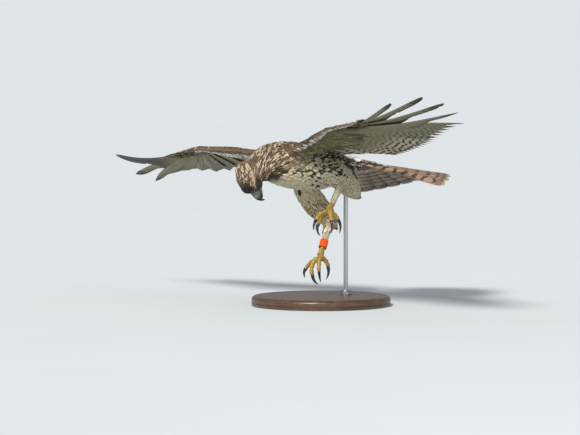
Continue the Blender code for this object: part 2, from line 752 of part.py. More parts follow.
for tarsus, foot_obj, name, centre, ankle in (
        (tarsus_left, foot_left, "left", FOOT_LEFT, ANKLE_LEFT),
        (tarsus_right, foot_right, "right", FOOT_RIGHT, ANKLE_RIGHT)):
    # the foot's toes and hub leave room for the shank's end
    a, b = at(*ankle), at(*centre)
    d = (b - a).normalized()
    room = guide(tube("guide_shank_" + name,
                      [b - d * 0.020, b - d * 0.010, b + d * GAP],
                      [0.0085, 0.0085, 0.0085], 12, None))
    cut(foot_obj, room)

# ---------------------------------------------------------- the band it wears
a, b = at(*ANKLE_RIGHT), at(*FOOT_RIGHT)
axis = (b - a).normalized()
centre = a.lerp(b, BAND_AT)
side = axis.orthogonal().normalized()
up = axis.cross(side)
bm = bmesh.new()
loops = []
for along, r in ((-0.5, BAND_INNER), (-0.5, BAND_OUTER), (0.5, BAND_OUTER), (0.5, BAND_INNER)):
    loops.append([bm.verts.new(p) for p in
                  oval(centre + axis * (along * BAND_HEIGHT), side, up, r, r, r, 16)])
for one, two in zip(loops, loops[1:] + loops[:1]):
    for i in range(16):
        j = (i + 1) % 16
        bm.faces.new((one[i], one[j], two[j], two[i]))
finish("hawk_leg_band", bm, ORANGE, sharp=30.0)

# ------------------------------------------------------------------ the stand
BASE_RADIUS, BASE_HEIGHT = 0.140, 0.020
ROD_RADIUS = 0.0045
ROD_ON_BIRD = at(-0.1540, 0.0, -0.0200)       # top of the rod in the bird's frame
ROD_FOOT = 0.008                              # the rod's foot over the floor


def turned(name, profile, centre, mat, count):
    """A solid of revolution about a vertical line; profile runs (radius,
    height) from the foot to the top on the outside."""
    bm = bmesh.new()
    loops = []
    for r, z in profile:
        loops.append([bm.verts.new((centre[0] + r * math.cos(2 * math.pi * i / count),
                                    centre[1] + r * math.sin(2 * math.pi * i / count), z))
                      for i in range(count)])
    for one, two in zip(loops, loops[1:]):
        for i in range(count):
            j = (i + 1) % count
            bm.faces.new((one[i], one[j], two[j], two[i]))
    bm.faces.new(loops[0][::-1])
    bm.faces.new(loops[-1])
    return finish(name, bm, mat, parent=None, sharp=30.0)


top = pose.matrix_world @ ROD_ON_BIRD
base = turned("stand_base", [
    (BASE_RADIUS, 0.0), (BASE_RADIUS, BASE_HEIGHT - 0.004), (BASE_RADIUS - 0.004, BASE_HEIGHT)],
    (0.0, 0.0), WOOD, 36)
turned("stand_rod", [(ROD_RADIUS, ROD_FOOT), (ROD_RADIUS, top.z)],
       (top.x, top.y), STEEL, 12)
collar = turned("stand_collar", [(0.0120, BASE_HEIGHT + GAP), (0.0120, BASE_HEIGHT + 0.008),
                                 (0.0105, BASE_HEIGHT + 0.010)], (top.x, top.y), STEEL, 16)
rod_room = guide(turned("guide_rod", [(ROD_RADIUS + GAP, ROD_FOOT - GAP),
                                      (ROD_RADIUS + GAP, top.z + GAP)],
                        (top.x, top.y), None, 12))
for obj in (base, collar, trunk):
    cut(obj, rod_room)
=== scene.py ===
"""Looks of the red-tailed hawk on its display stand.

One skin carries the flesh, solid mesh feathers lie over it, and eyes, bill,
claws, leg band and stand are pieces of their own.  The bird is drawn in its
own frame, in metres from the middle of the shoulders: (forward, left, up),
and POSE puts it on the stand.
"""
import math
import random

import bpy
import numpy as np
from mathutils import Matrix, Vector
from mathutils.bvhtree import BVHTree
from mathutils.kdtree import KDTree


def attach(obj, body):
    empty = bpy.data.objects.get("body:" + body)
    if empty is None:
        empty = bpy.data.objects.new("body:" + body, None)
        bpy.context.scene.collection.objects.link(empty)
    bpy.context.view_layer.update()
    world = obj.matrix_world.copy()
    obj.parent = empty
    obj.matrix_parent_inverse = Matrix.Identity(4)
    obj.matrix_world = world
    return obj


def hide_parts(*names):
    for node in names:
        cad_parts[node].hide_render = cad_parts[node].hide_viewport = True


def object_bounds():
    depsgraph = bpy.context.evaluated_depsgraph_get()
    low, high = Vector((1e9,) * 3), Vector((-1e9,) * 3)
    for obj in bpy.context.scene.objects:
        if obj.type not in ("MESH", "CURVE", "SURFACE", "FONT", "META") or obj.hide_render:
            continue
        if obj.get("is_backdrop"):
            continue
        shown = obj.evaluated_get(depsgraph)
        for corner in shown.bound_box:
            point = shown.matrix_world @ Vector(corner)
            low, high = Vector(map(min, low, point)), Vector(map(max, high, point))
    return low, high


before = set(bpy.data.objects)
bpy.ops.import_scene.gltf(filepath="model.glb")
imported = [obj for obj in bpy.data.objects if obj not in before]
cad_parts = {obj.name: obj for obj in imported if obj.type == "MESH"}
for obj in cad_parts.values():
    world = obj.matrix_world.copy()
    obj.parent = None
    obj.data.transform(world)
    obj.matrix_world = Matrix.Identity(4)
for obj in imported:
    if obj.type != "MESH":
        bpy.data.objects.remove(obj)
cad_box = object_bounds()

SEED = 20240517
rng = np.random.default_rng(SEED)
random.seed(SEED)
MM = 0.001

# ------------------------------------------------------------------ the pose
VIEW_AZIMUTH = math.radians(-32.0)
BANK = math.radians(10.0)
POSE = (Matrix.Translation((-0.095, 0.0, 0.300))
        @ Matrix.Rotation(-BANK, 4, (math.cos(VIEW_AZIMUTH), math.sin(VIEW_AZIMUTH), 0.0)))
POSE_NP = np.array(POSE)


def at(f, l, u):
    return np.array((-f, -l, u), float)


def loc(flu):
    """(forward, left, up) rows to the bird's local coordinates."""
    return np.asarray(flu, float) * np.array((-1.0, -1.0, 1.0))


def lerp(a, b, t):
    return a + (b - a) * t


def ease(t):
    t = np.clip(t, 0.0, 1.0)
    return t * t * (3.0 - 2.0 * t)


def table(pairs, x):
    return np.interp(x, [p[0] for p in pairs], [p[1] for p in pairs])


def unit(v):
    v = np.asarray(v, float)
    return v / np.maximum(np.linalg.norm(v, axis=-1, keepdims=True), 1e-12)


def smooth_stations(stations, steps):
    """Catmull-Rom through rows of numbers, `steps` intervals between each."""
    s = np.asarray(stations, float)
    out, last = [], len(s) - 1
    for i in range(last):
        a, b, c, d = (s[max(0, min(last, i + k))] for k in (-1, 0, 1, 2))
        for k in range(steps):
            t = k / steps
            out.append(0.5 * (2 * b + (c - a) * t + (2 * a - 5 * b + 4 * c - d) * t * t
                              + (3 * b - a - 3 * c + d) * t ** 3))
    out.append(s[-1])
    return np.array(out)


# ------------------------------------------------------------- mesh building
def new_mesh(name, verts, quads=None, tris=None, local=True, smooth=True):
    """A mesh object from arrays; `local` vertices are in the bird's frame."""
    v = np.asarray(verts, float).reshape(-1, 3)
    if local:
        v = v @ POSE_NP[:3, :3].T + POSE_NP[:3, 3]
    quads = np.zeros((0, 4), np.int32) if quads is None else np.asarray(quads, np.int32)
    tris = np.zeros((0, 3), np.int32) if tris is None else np.asarray(tris, np.int32)
    mesh = bpy.data.meshes.new(name)
    mesh.vertices.add(len(v))
    mesh.vertices.foreach_set("co", v.astype(np.float32).ravel())
    mesh.loops.add(quads.size + tris.size)
    mesh.loops.foreach_set("vertex_index",
                           np.concatenate([quads.ravel(), tris.ravel()]).astype(np.int32))
    mesh.polygons.add(len(quads) + len(tris))
    starts = np.concatenate([np.arange(len(quads)) * 4,
                             quads.size + np.arange(len(tris)) * 3]).astype(np.int32)
    mesh.polygons.foreach_set("loop_start", starts)
    mesh.polygons.foreach_set("use_smooth", np.full(len(starts), smooth))
    mesh.update(calc_edges=True)
    mesh.validate()
    obj = bpy.data.objects.new(name, mesh)
    bpy.context.scene.collection.objects.link(obj)
    return obj


def put_colour(obj, name, values, domain="POINT"):
    """A colour attribute from rows of three or four numbers."""
    v = np.asarray(values, np.float32)
    if v.shape[1] == 3:
        v = np.concatenate([v, np.ones((len(v), 1), np.float32)], 1)
    layer = obj.data.attributes.new(name, "FLOAT_COLOR", domain)
    layer.data.foreach_set("color", v.ravel())


def put_uv(obj, uv):
    """The OFBake map from one place per vertex."""
    layer = obj.data.uv_layers.new(name="OFBake")
    index = np.zeros(len(obj.data.loops), np.int32)
    obj.data.loops.foreach_get("vertex_index", index)
    layer.data.foreach_set("uv", np.asarray(uv, np.float32)[index].ravel())


def ride(obj, node=None):
    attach(obj, "root")
    if node:
        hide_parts(*([node] if isinstance(node, str) else node))
    return obj


# ----------------------------------------------------------- node materials
class Graph:
    """Short hand for a node material."""

    def __init__(self, name):
        self.mat = bpy.data.materials.new(name)
        self.mat.use_nodes = True
        self.nt = self.mat.node_tree
        self.bsdf = self.nt.nodes["Principled BSDF"]

    def node(self, kind, **props):
        n = self.nt.nodes.new(kind)
        for k, v in props.items():
            setattr(n, k, v)
        return n

    def plug(self, dark_lids_and_brow_shade, value):
        if hasattr(value, "links") or isinstance(value, bpy.types.NodeSocket):
            self.nt.links.new(value, dark_lids_and_brow_shade)
        elif isinstance(value, (tuple, list)) and len(value) == 3 \
                and dark_lids_and_brow_shade.type == "RGBA":
            dark_lids_and_brow_shade.default_value = (*value, 1.0)
        else:
            dark_lids_and_brow_shade.default_value = value

    def math(self, op, a, b=None, c=None, clamp=False):
        n = self.node("ShaderNodeMath", operation=op, use_clamp=clamp)
        for i, x in enumerate((a, b, c)):
            if x is not None:
                self.plug(n.inputs[i], x)
        return n.outputs[0]

    def mix(self, fac, a, b, blend="MIX"):
        n = self.node("ShaderNodeMix", data_type="RGBA", blend_type=blend)
        self.plug(n.inputs[0], fac)
        self.plug(n.inputs[6], a)
        self.plug(n.inputs[7], b)
        return n.outputs[2]

    def step(self, x, lo, hi):
        """0 below lo, 1 above hi, smooth between; lo > hi turns it round."""
        n = self.node("ShaderNodeMapRange", interpolation_type="SMOOTHSTEP")
        self.plug(n.inputs["Value"], x)
        if lo < hi:
            n.inputs["From Min"].default_value = lo
            n.inputs["From Max"].default_value = hi
            n.inputs["To Min"].default_value = 0.0
            n.inputs["To Max"].default_value = 1.0
        else:
            n.inputs["From Min"].default_value = hi
            n.inputs["From Max"].default_value = lo
            n.inputs["To Min"].default_value = 1.0
            n.inputs["To Max"].default_value = 0.0
        return n.outputs[0]

    def attr(self, name):
        return self.node("ShaderNodeAttribute", attribute_name=name)

    def split(self, name):
        """Red, green, blue and alpha of a colour attribute."""
        a = self.attr(name)
        s = self.node("ShaderNodeSeparateColor")
        self.nt.links.new(a.outputs["Color"], s.inputs[0])
        return s.outputs[0], s.outputs[1], s.outputs[2], a.outputs["Alpha"]

    def place(self):
        return self.node("ShaderNodeTexCoord").outputs["Object"]

    def noise(self, scale, detail=2.0, rough=0.5, vector=None, stretch=None):
        n = self.node("ShaderNodeTexNoise")
        n.inputs["Scale"].default_value = scale
        n.inputs["Detail"].default_value = detail
        n.inputs["Roughness"].default_value = rough
        v = vector if vector is not None else self.place()
        if stretch:
            m = self.node("ShaderNodeMapping")
            m.inputs["Scale"].default_value = stretch
            self.nt.links.new(v, m.inputs["Vector"])
            v = m.outputs[0]
        self.nt.links.new(v, n.inputs["Vector"])
        return n.outputs["Fac"]

    def bump(self, height, strength, distance):
        n = self.node("ShaderNodeBump")
        n.inputs["Strength"].default_value = strength
        n.inputs["Distance"].default_value = distance
        self.plug(n.inputs["Height"], height)
        return n.outputs[0]

    def finish(self, colour, roughness=0.7, normal=None, **fixed):
        self.plug(self.bsdf.inputs["Base Color"], colour)
        self.plug(self.bsdf.inputs["Roughness"], roughness)
        if normal is not None:
            self.plug(self.bsdf.inputs["Normal"], normal)
        for k, v in fixed.items():
            self.bsdf.inputs[k.replace("_", " ")].default_value = v
        return self.mat


# ------------------------------------------------- camera, floor and lights
CAMERA_AZIMUTH, CAMERA_DOWN = math.radians(32.0), math.radians(3.0)
CAMERA_DISTANCE = 10.0
SHOULDERS = Vector((-0.095, 0.0, 0.300))
look = Vector((math.sin(CAMERA_AZIMUTH) * math.cos(CAMERA_DOWN),
               math.cos(CAMERA_AZIMUTH) * math.cos(CAMERA_DOWN), -math.sin(CAMERA_DOWN)))
right = Vector((math.cos(CAMERA_AZIMUTH), -math.sin(CAMERA_AZIMUTH), 0.0))
camera_up = right.cross(look)
eye_point = SHOULDERS - look * CAMERA_DISTANCE
aim = SHOULDERS + right * 0.018 - camera_up * 0.119
cam_data = bpy.data.cameras.new("camera")
cam_data.sensor_width = 36.0
cam_data.lens = 36.0 * 500.0 * CAMERA_DISTANCE / 580.0
cam_data.clip_end = 300.0
cam = bpy.data.objects.new("camera", cam_data)
bpy.context.scene.collection.objects.link(cam)
away = (eye_point - aim).normalized()
sideways = Vector((0, 0, 1)).cross(away).normalized()
upward = away.cross(sideways)
cam.matrix_world = Matrix(((sideways.x, upward.x, away.x, eye_point.x),
                           (sideways.y, upward.y, away.y, eye_point.y),
                           (sideways.z, upward.z, away.z, eye_point.z),
                           (0, 0, 0, 1)))
bpy.context.scene.camera = cam

bpy.context.scene.view_settings.view_transform = "Standard"
world = bpy.data.worlds.new("world")
bpy.context.scene.world = world
world.use_nodes = True
world.node_tree.nodes["Background"].inputs[0].default_value = (0.85, 0.89, 0.93, 1.0)
world.node_tree.nodes["Background"].inputs[1].default_value = 0.46


def area_light(name, place, target, size, power, colour):
    data = bpy.data.lights.new(name, "AREA")
    data.shape = "DISK"
    data.size = size
    data.energy = power
    data.color = colour
    lamp = bpy.data.objects.new(name, data)
    bpy.context.scene.collection.objects.link(lamp)
    lamp.location = place
    lamp.rotation_euler = (Vector(target) - Vector(place)).to_track_quat("-Z", "Y").to_euler()
    return lamp


sun_data = bpy.data.lights.new("key", "SUN")
sun_data.energy, sun_data.angle, sun_data.color = 3.3, math.radians(12.0), (1.0, 0.965, 0.91)
sun = bpy.data.objects.new("key", sun_data)
bpy.context.scene.collection.objects.link(sun)
sun.rotation_euler = Vector((1.0, 0.75, -1.05)).to_track_quat("-Z", "Y").to_euler()
area_light("fill", (-0.6, -3.6, 0.45), (0.0, 0, 0.30), 2.2, 13.0, (1.0, 0.98, 0.95))

FLOOR = 60.0
floor = new_mesh("floor", [(-FLOOR, -FLOOR, 0), (FLOOR, -FLOOR, 0), (FLOOR, FLOOR, 0),
                           (-FLOOR, FLOOR, 0)], [(0, 1, 2, 3)], local=False, smooth=False)
g = Graph("pale_floor")
floor.data.materials.append(g.finish(
    g.mix(g.noise(3.0, 2.0), (0.69, 0.735, 0.77), (0.72, 0.765, 0.80)), 0.9,
    Specular_IOR_Level=0.15))
floor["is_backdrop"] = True

# ---------------------------------------------------------------- body plan
# the numbers of the solids: forward, up, half width, half height above and
# below the axis, pitch of the axis
TRUNK = [
    (-0.1720, +0.0010, 0.0260, 0.0130, 0.0165, 0.0),
    (-0.1500, -0.0030, 0.0345, 0.0180, 0.0290, 0.0),
    (-0.1250, -0.0080, 0.0440, 0.0265, 0.0400, 0.0),
    (-0.0900, -0.0120, 0.0510, 0.0385, 0.0475, 0.0),
    (-0.0550, -0.0140, 0.0535, 0.0460, 0.0480, 0.0),
    (-0.0200, -0.0140, 0.0525, 0.0485, 0.0455, 2.0),
    (+0.0100, -0.0140, 0.0470, 0.0460, 0.0410, 8.0),
    (+0.0290, -0.0165, 0.0405, 0.0405, 0.0345, 20.0),
    (+0.0430, -0.0225, 0.0350, 0.0350, 0.0290, 33.0),
    (+0.0560, -0.0310, 0.0300, 0.0300, 0.0260, 47.0),
    (+0.0660, -0.0410, 0.0250, 0.0250, 0.0215, 62.0),
]
NECK_FROM = 7
SIDE = at(0, 1, 0)
HEAD_AT = at(0.0721, 0.0010, -0.0475)
HEAD_TURN = math.radians(10.0)
HEAD_ALONG = unit(at(-0.45, 0.0, -0.893))
_crown = at(0.893, 0.0, -0.45)
HEAD_UP = unit(_crown * math.cos(HEAD_TURN) + SIDE * math.sin(HEAD_TURN))
HEAD_LEFT = unit(SIDE * math.cos(HEAD_TURN) - _crown * math.sin(HEAD_TURN))
HEAD = [
    (-34.5, 8.0, 8.5, 9.0), (-31.5, 15.0, 15.5, 16.0), (-24.5, 21.0, 22.0, 22.5),
    (-13.0, 25.0, 26.5, 26.0), (-1.0, 25.8, 27.2, 25.5), (+9.0, 24.0, 25.0, 22.5),
    (+17.0, 20.2, 20.6, 18.6), (+23.0, 15.0, 15.6, 15.6), (+26.5, 10.6, 11.6, 14.4),
]
EYE_RADIUS = 0.0088
EYE_ALONG, EYE_CROWN, EYE_SIDE = 16.5, 5.0, 12.6


def head(a, b, left=0.0):
    return HEAD_AT + (HEAD_ALONG * a + HEAD_UP * b + HEAD_LEFT * left) * MM


def oval(centre, side, up, half_side, half_up, half_down, count, square=2.0):
    a = 2 * np.pi * np.arange(count) / count
    c, s = np.cos(a), np.sin(a)
    c = np.copysign(np.abs(c) ** (2 / square), c)
    s = np.copysign(np.abs(s) ** (2 / square), s)
    return (centre + np.outer(half_side * c, side)
            + np.outer(np.where(s > 0, half_up, half_down) * s, up))


def closed_loft(rings, tip=None):
    """Vertices, quads and tris of a closed solid through equal rings."""
    rings = [np.asarray(r) for r in rings]
    n, m = len(rings[0]), len(rings)
    v = np.concatenate(rings)
    i = np.arange(n)
    j = (i + 1) % n
    quads = np.concatenate([np.stack([k * n + i, k * n + j, (k + 1) * n + j,
                                      (k + 1) * n + i], 1) for k in range(m - 1)])
    start, end = len(v), len(v) + 1
    last = (m - 1) * n
    v = np.concatenate([v, [rings[0].mean(0)], [rings[-1].mean(0) if tip is None else tip]])
    tris = np.concatenate([np.stack([j, i, np.full(n, start)], 1),
                           np.stack([last + i, last + j, np.full(n, end)], 1)])
    return v, quads, tris


def tangents(points):
    p = np.asarray(points, float)
    d = np.empty_like(p)
    d[1:-1] = p[2:] - p[:-2]
    d[0], d[-1] = p[1] - p[0], p[-1] - p[-2]
    return unit(d)


def swept(points, radii, count, flat=1.0, tip=None, first_side=None, ring=None):
    """A tapered tube along points; ring(i, angles) may scale each radius."""
    t = tangents(points)
    side = np.cross(t[0], (0.31, 0.52, 0.79)) if first_side is None else first_side
    rings = []
    a = 2 * np.pi * np.arange(count) / count
    for k, (p, d, r) in enumerate(zip(points, t, radii)):
        side = unit(side - d * np.dot(side, d))
        up = np.cross(d, side)
        f = 1.0 if ring is None else ring(k, a)
        rings.append(p + np.outer(np.cos(a) * r * flat * f, side) + np.outer(np.sin(a) * r * f, up))
    return closed_loft(rings, tip)


class Soup:
    """Several closed shapes gathered into one mesh."""

    def __init__(self):
        self.v, self.q, self.t, self.n = [], [], [], 0

    def add(self, shape):
        v, q, t = shape
        self.v.append(v)
        self.q.append(np.asarray(q, int).reshape(-1, 4) + self.n)
        self.t.append(np.asarray(t, int).reshape(-1, 3) + self.n)
        self.n += len(v)

    def arrays(self):
        return np.concatenate(self.v), np.concatenate(self.q), np.concatenate(self.t)


# ---------------------------------------------------------------- the wings
SHOULDER = (0.000, 0.042, 0.004)
ELBOW = (-0.028, 0.128, 0.015)
WRIST, HAND = (0.030, 0.220, 0.028), (0.015, 0.307, 0.032)
RIGHT_WRIST, RIGHT_HAND = (0.055, 0.217, 0.037), (0.033, 0.303, 0.040)
EDGE_FORWARD = [(0.030, 0.020), (0.045, 0.015), (0.085, 0.008), (0.140, 0.016),
                (0.180, 0.028), (0.216, 0.040)]
EDGE_UP = [(0.030, 0.000), (0.045, 0.004), (0.085, 0.018), (0.140, 0.026), (0.216, 0.026)]
PRIMARIES, SECONDARIES, TERTIALS = 10, 12, 3
PRIMARY_LENGTH = [(1, .216), (2, .221), (3, .228), (4, .241), (5, .264),
                  (6, .298), (7, .310), (8, .304), (9, .279), (10, .220)]
PRIMARY_BACK = [(1, 53.5), (2, 46.0), (3, 38.5), (4, 31.0), (5, 24.0),
                (6, 17.5), (7, 10.0), (8, 2.5), (9, -5.5), (10, -16.5)]
PRIMARY_TIP_UP = [(1, .014), (5, .0150), (6, .014), (7, .029), (8, .043),
                  (9, .054), (10, .046)]
RIGHT_SWEEP = [(1, 0.5), (5, 3.0), (6, 3.3), (7, 6.3), (8, 6.0), (9, 2.7), (10, 4.0)]
RIGHT_LIFT = [(1, .006), (3, .006), (4, .011), (5, .0165), (6, .017), (7, -.015), (8, -.016),
              (9, .008), (10, .010)]
RIGHT_SAG = {7: 0.0, 8: 0.0, 9: -0.052, 10: -0.052}
SLOT = {9: 0.18, 8: 0.47, 7: 0.58, 6: 0.68, 5: 0.84}


def mix(a, b, t):
    return tuple(lerp(x, y, t) for x, y in zip(a, b))


def flight_feathers(mirror):
    """One dict per flight feather from the wing tip to the body."""
    on_right = mirror < 0
    wrist, hand = (RIGHT_WRIST, RIGHT_HAND) if on_right else (WRIST, HAND)
    out = []
    for k in range(PRIMARIES, 0, -1):
        root = mix(wrist, hand, (k - 1) / (PRIMARIES - 1.0))
        out.append(dict(kind="P", number=k, root=root,
                        edge=(root[0] + 0.010 + 0.007 * math.sin(math.pi * k / 10.5),
                              root[1] + 0.003, root[2] - 0.001),
                        length=float(table(PRIMARY_LENGTH, k)),
                        back=float(table(PRIMARY_BACK, k)
                                   + (table(RIGHT_SWEEP, k) if on_right else 0.0)),
                        tip_up=float(table(PRIMARY_TIP_UP, k)
                                     + (table(RIGHT_LIFT, k) if on_right else 0.0)),
                        slot=SLOT.get(k, 0.88),
                        sag=RIGHT_SAG[k] if on_right and k > 6
                        else (-0.030 if k > 6
                              else lerp(0.030, -0.010 if on_right else 0.010, k / 6.0))))
    for k in range(1, SECONDARIES + 1):
        s = (k - 0.5) / SECONDARIES
        root = mix(wrist, ELBOW, s)
        left = lerp(0.212, 0.106, s)
        out.append(dict(kind="S", number=k, root=root,
                        edge=(float(table(EDGE_FORWARD, left)) + (wrist[0] - WRIST[0]) * (1 - s),
                              left, float(table(EDGE_UP, left)) + (wrist[2] - WRIST[2]) * (1 - s)),
                        length=lerp(0.212, 0.180, s),
                        back=59.0 + 38.5 * (1.22 * s - 0.22 * s * s),
                        tip_up=0.0130 + (0.005 * (1 - s) if on_right else -0.0055 * s),
                        slot=0.95, sag=0.045))
    for k in range(1, TERTIALS + 1):
        s = k / (TERTIALS + 1.0)
        root = mix(ELBOW, SHOULDER, 0.85 * s)
        left = lerp(0.100, 0.046, s)
        out.append(dict(kind="T", number=k, root=root,
                        edge=(float(table(EDGE_FORWARD, left)), left,
                              float(table(EDGE_UP, left))),
                        length=lerp(0.178, 0.118, s), back=98.5 + 7 * s,
                        tip_up=0.012, slot=0.95, sag=0.050))
    return out


def shaft(feather, t):
    """Points (forward, left, up) of the shaft at the shares t."""
    t = np.asarray(t, float)
    f, l, u = feather["root"]
    a = math.radians(feather["back"])
    length = feather["length"]
    bow = np.sin(np.pi * np.minimum(1.0, t)) * length
    bend = 0.030 if feather["kind"] == "P" else -0.012
    df, dl = -math.sin(a), math.cos(a)
    return np.stack([f + df * length * t + math.cos(a) * bend * bow,
                     l + dl * length * t + math.sin(a) * bend * bow,
                     u + (feather["tip_up"] - u) * t + feather["sag"] * bow], -1)


def arm_of(feather):
    number = feather["number"]
    if feather["kind"] == "P":
        return lerp(0.50, 0.34, (number - 1) / 9.0)
    if feather["kind"] == "S":
        return float(lerp(0.52, 1.00, ease(number / 8.0)))
    return 1.05


class Wing:
    """The wing as a surface: x runs from the outermost feather (0) to the
    body (24), w is the distance in metres behind the feather roots, negative
    towards the leading edge."""

    STEPS = np.concatenate([np.linspace(-1, 0, 7)[:-1], np.linspace(0, 1, 41)])

    def __init__(self, mirror):
        self.mirror = mirror
        self.feathers = flight_feathers(mirror)
        rows = []
        for f in self.feathers:
            edge, root = np.array(f["edge"]), np.array(f["root"])
            k = np.linspace(0, 1, 7)[:-1]
            front = edge + (root - edge) * k[:, None]
            front[:, 2] += 0.002 * np.sin(np.pi * k)
            rows.append(np.concatenate([front, shaft(f, np.linspace(0, 1, 41))]))
        self.rows = np.array(rows)                       # 25 x 47 x 3
        self.edge = np.array([np.linalg.norm(np.subtract(f["edge"], f["root"]))
                              for f in self.feathers])
        self.length = np.array([f["length"] for f in self.feathers])
        self.arm = np.array([arm_of(f) for f in self.feathers])

    def column(self, i, w):
        w = np.asarray(w, float)
        c = np.where(w < 0, w / self.edge[i] * 6 + 6, 6 + w / self.length[i] * 40)
        c = np.clip(c, 0, 46 - 1e-6)
        k = c.astype(int)
        t = (c - k)[..., None]
        return self.rows[i, k] * (1 - t) + self.rows[i, k + 1] * t

    def point(self, x, w):
        """Feather plane at (x, w), as (forward, left, up) of this wing."""
        x = np.clip(np.asarray(x, float), 0, 24 - 1e-6)
        i = x.astype(int)
        t = (x - i)[..., None]
        return self.column(i, w) * (1 - t) + self.column(i + 1, w) * t

    def edge_at(self, x):
        return np.interp(x, np.arange(25), self.edge)

    def thick(self, x, w):
        """Height of the upper and of the lower surface over that plane."""
        arm = np.interp(x, np.arange(25), self.arm)
        edge = np.interp(x, np.arange(25), self.edge)
        length = np.interp(x, np.arange(25), self.length)
        w = np.asarray(w, float)
        front = np.clip(-w / edge, 0, 1)
        fade = np.clip(1.0 - w / length / 0.62, 0, 1) ** 1.5
        up = np.where(w < 0, arm * (0.0022 + 0.0080 * np.sqrt(1 - front ** 1.6)),
                      0.0009 + 0.0090 * arm * fade)
        down = np.where(w < 0, arm * (0.0022 + 0.0042 * np.sqrt(1 - front ** 1.6)),
                        0.0009 + 0.0055 * arm * fade)
        return up, down

    def local(self, flu):
        """To the bird's local coordinates, mirrored for the right wing."""
        flu = np.array(flu, float)
        flu[..., 1] *= self.mirror
        return loc(flu)


WINGS = {"left": Wing(1), "right": Wing(-1)}

# the tail
TAIL_ROOT = (-0.1723, 0.0, 0.0010)
TAIL_FEATHERS, TAIL_SPREAD, TAIL_LENGTH = 12, 47.0, 0.200


def tail_point(angle_deg, t):
    t = np.asarray(t, float)
    a = math.radians(angle_deg)
    spread = angle_deg / TAIL_SPREAD
    base_left = 0.0120 * spread + 0.0095 * spread * np.exp(-9.0 * t)
    r = TAIL_LENGTH * t * (1.0 - 0.09 * spread * spread)
    hang = 0.0377 * spread ** 2 if spread > 0 else 0.0235 * abs(spread)
    drop = (0.012 + hang) * (0.75 * t + 0.25 * t * t)
    return np.stack([TAIL_ROOT[0] - r * math.cos(a), base_left + r * math.sin(a),
                     TAIL_ROOT[2] - drop], -1)


# ------------------------------------------------------------ feather shapes
def vane_mesh(C, N, S, wide_l, wide_r, v, thick, camber=0.0, rachis=0.0, flip=False):
    """Closed thin vanes.  C, N and S are (feathers, stations, 3): centre
    line, upper side and left side; wide_l and wide_r are (feathers, stations)
    half widths towards +S and -S; v lists the columns from -1 to 1.  The two
    faces share the vane's edges.  Returns vertices, quads, tris, and per
    vertex (share along, place across, upper 1 or lower 0, feather)."""
    F, n = C.shape[:2]
    v = np.asarray(v, float)
    m = len(v)
    w = np.where(v[None, None] > 0, wide_l[..., None], wide_r[..., None])
    sag = np.asarray(camber) * np.ones((F, n))
    across = v[None, None] * w
    lift = -sag[..., None] * v[None, None] ** 2 * w
    share = np.linspace(0, 1, n)
    stem = rachis * (1.0 - 0.75 * share)[None, :, None] * (np.abs(v) < 0.01)[None, None]
    top = C[:, :, None] + S[:, :, None] * across[..., None] + N[:, :, None] * (lift + stem)[..., None]
    half = thick * (1.0 - v ** 2)[None, None]
    low = C[:, :, None] + S[:, :, None] * across[..., None] \
        + N[:, :, None] * (lift - half - 0.8 * stem)[..., None]
    low = low[:, :, 1:-1]
    per = n * m + n * (m - 2)
    V = np.concatenate([top.reshape(F, -1, 3), low.reshape(F, -1, 3)], 1)

    def T(i, j):
        return i * m + j

    def B(i, j):
        return T(i, j) if j in (0, m - 1) else n * m + i * (m - 2) + j - 1

    quads, tris = [], []
    for i in range(n - 1):
        for j in range(m - 1):
            quads.append((T(i, j), T(i + 1, j), T(i + 1, j + 1), T(i, j + 1)))
            quads.append((B(i, j), B(i, j + 1), B(i + 1, j + 1), B(i + 1, j)))
    for i, turn in ((0, 1), (n - 1, -1)):
        for j in range(m - 1):
            ring = [T(i, j), T(i, j + 1), B(i, j + 1), B(i, j)]
            ring = [a for k, a in enumerate(ring) if a not in ring[:k]]
            ring = ring[::turn]
            (quads if len(ring) == 4 else tris).append(tuple(ring))
    quads, tris = np.array(quads), np.array(tris)
    if flip:
        quads, tris = quads[:, ::-1], tris[:, ::-1]
    offset = (np.arange(F) * per)[:, None, None]
    info = np.zeros((F, per, 4))
    along = np.concatenate([np.repeat(share, m), np.repeat(share, m - 2)])
    info[..., 0] = along
    info[..., 1] = np.concatenate([np.tile(v, n), np.tile(v[1:-1], n)])
    info[..., 2] = np.arange(per) < n * m
    info[..., 3] = np.arange(F)[:, None]
    return (V.reshape(-1, 3), (quads[None] + offset).reshape(-1, 4),
            (tris[None] + offset).reshape(-1, 3), info.reshape(-1, 4))


def frames_of(C, up):
    """Tangent, upper and left directions along the centre lines C."""
    T = np.empty_like(C)
    T[:, 1:-1] = C[:, 2:] - C[:, :-2]
    T[:, 0], T[:, -1] = C[:, 1] - C[:, 0], C[:, -1] - C[:, -2]
    T = unit(T)
    N = unit(up - T * np.sum(up * T, -1, keepdims=True))
    return T, N, np.cross(N, T)


def tilt(N, S, angle):
    """Turns the vane about its shaft, +S side up for a positive angle."""
    a = np.asarray(angle)[..., None] if np.ndim(angle) else angle
    return N * np.cos(a) - S * np.sin(a), S * np.cos(a) + N * np.sin(a)


# ------------------------------------------------------------ flight feathers
FLIGHT_V = (-1, -.86, -.68, -.5, -.32, -.16, -.05, 0, .05, .2, .45, .72, 1)
FLIGHT_STATIONS = 56


def tip_shape(t, start, power, root=0.62):
    k = np.clip((t - start) / (1.0 - start), 0, 1)
    return np.maximum((1.0 - k ** power), 0.0) ** root


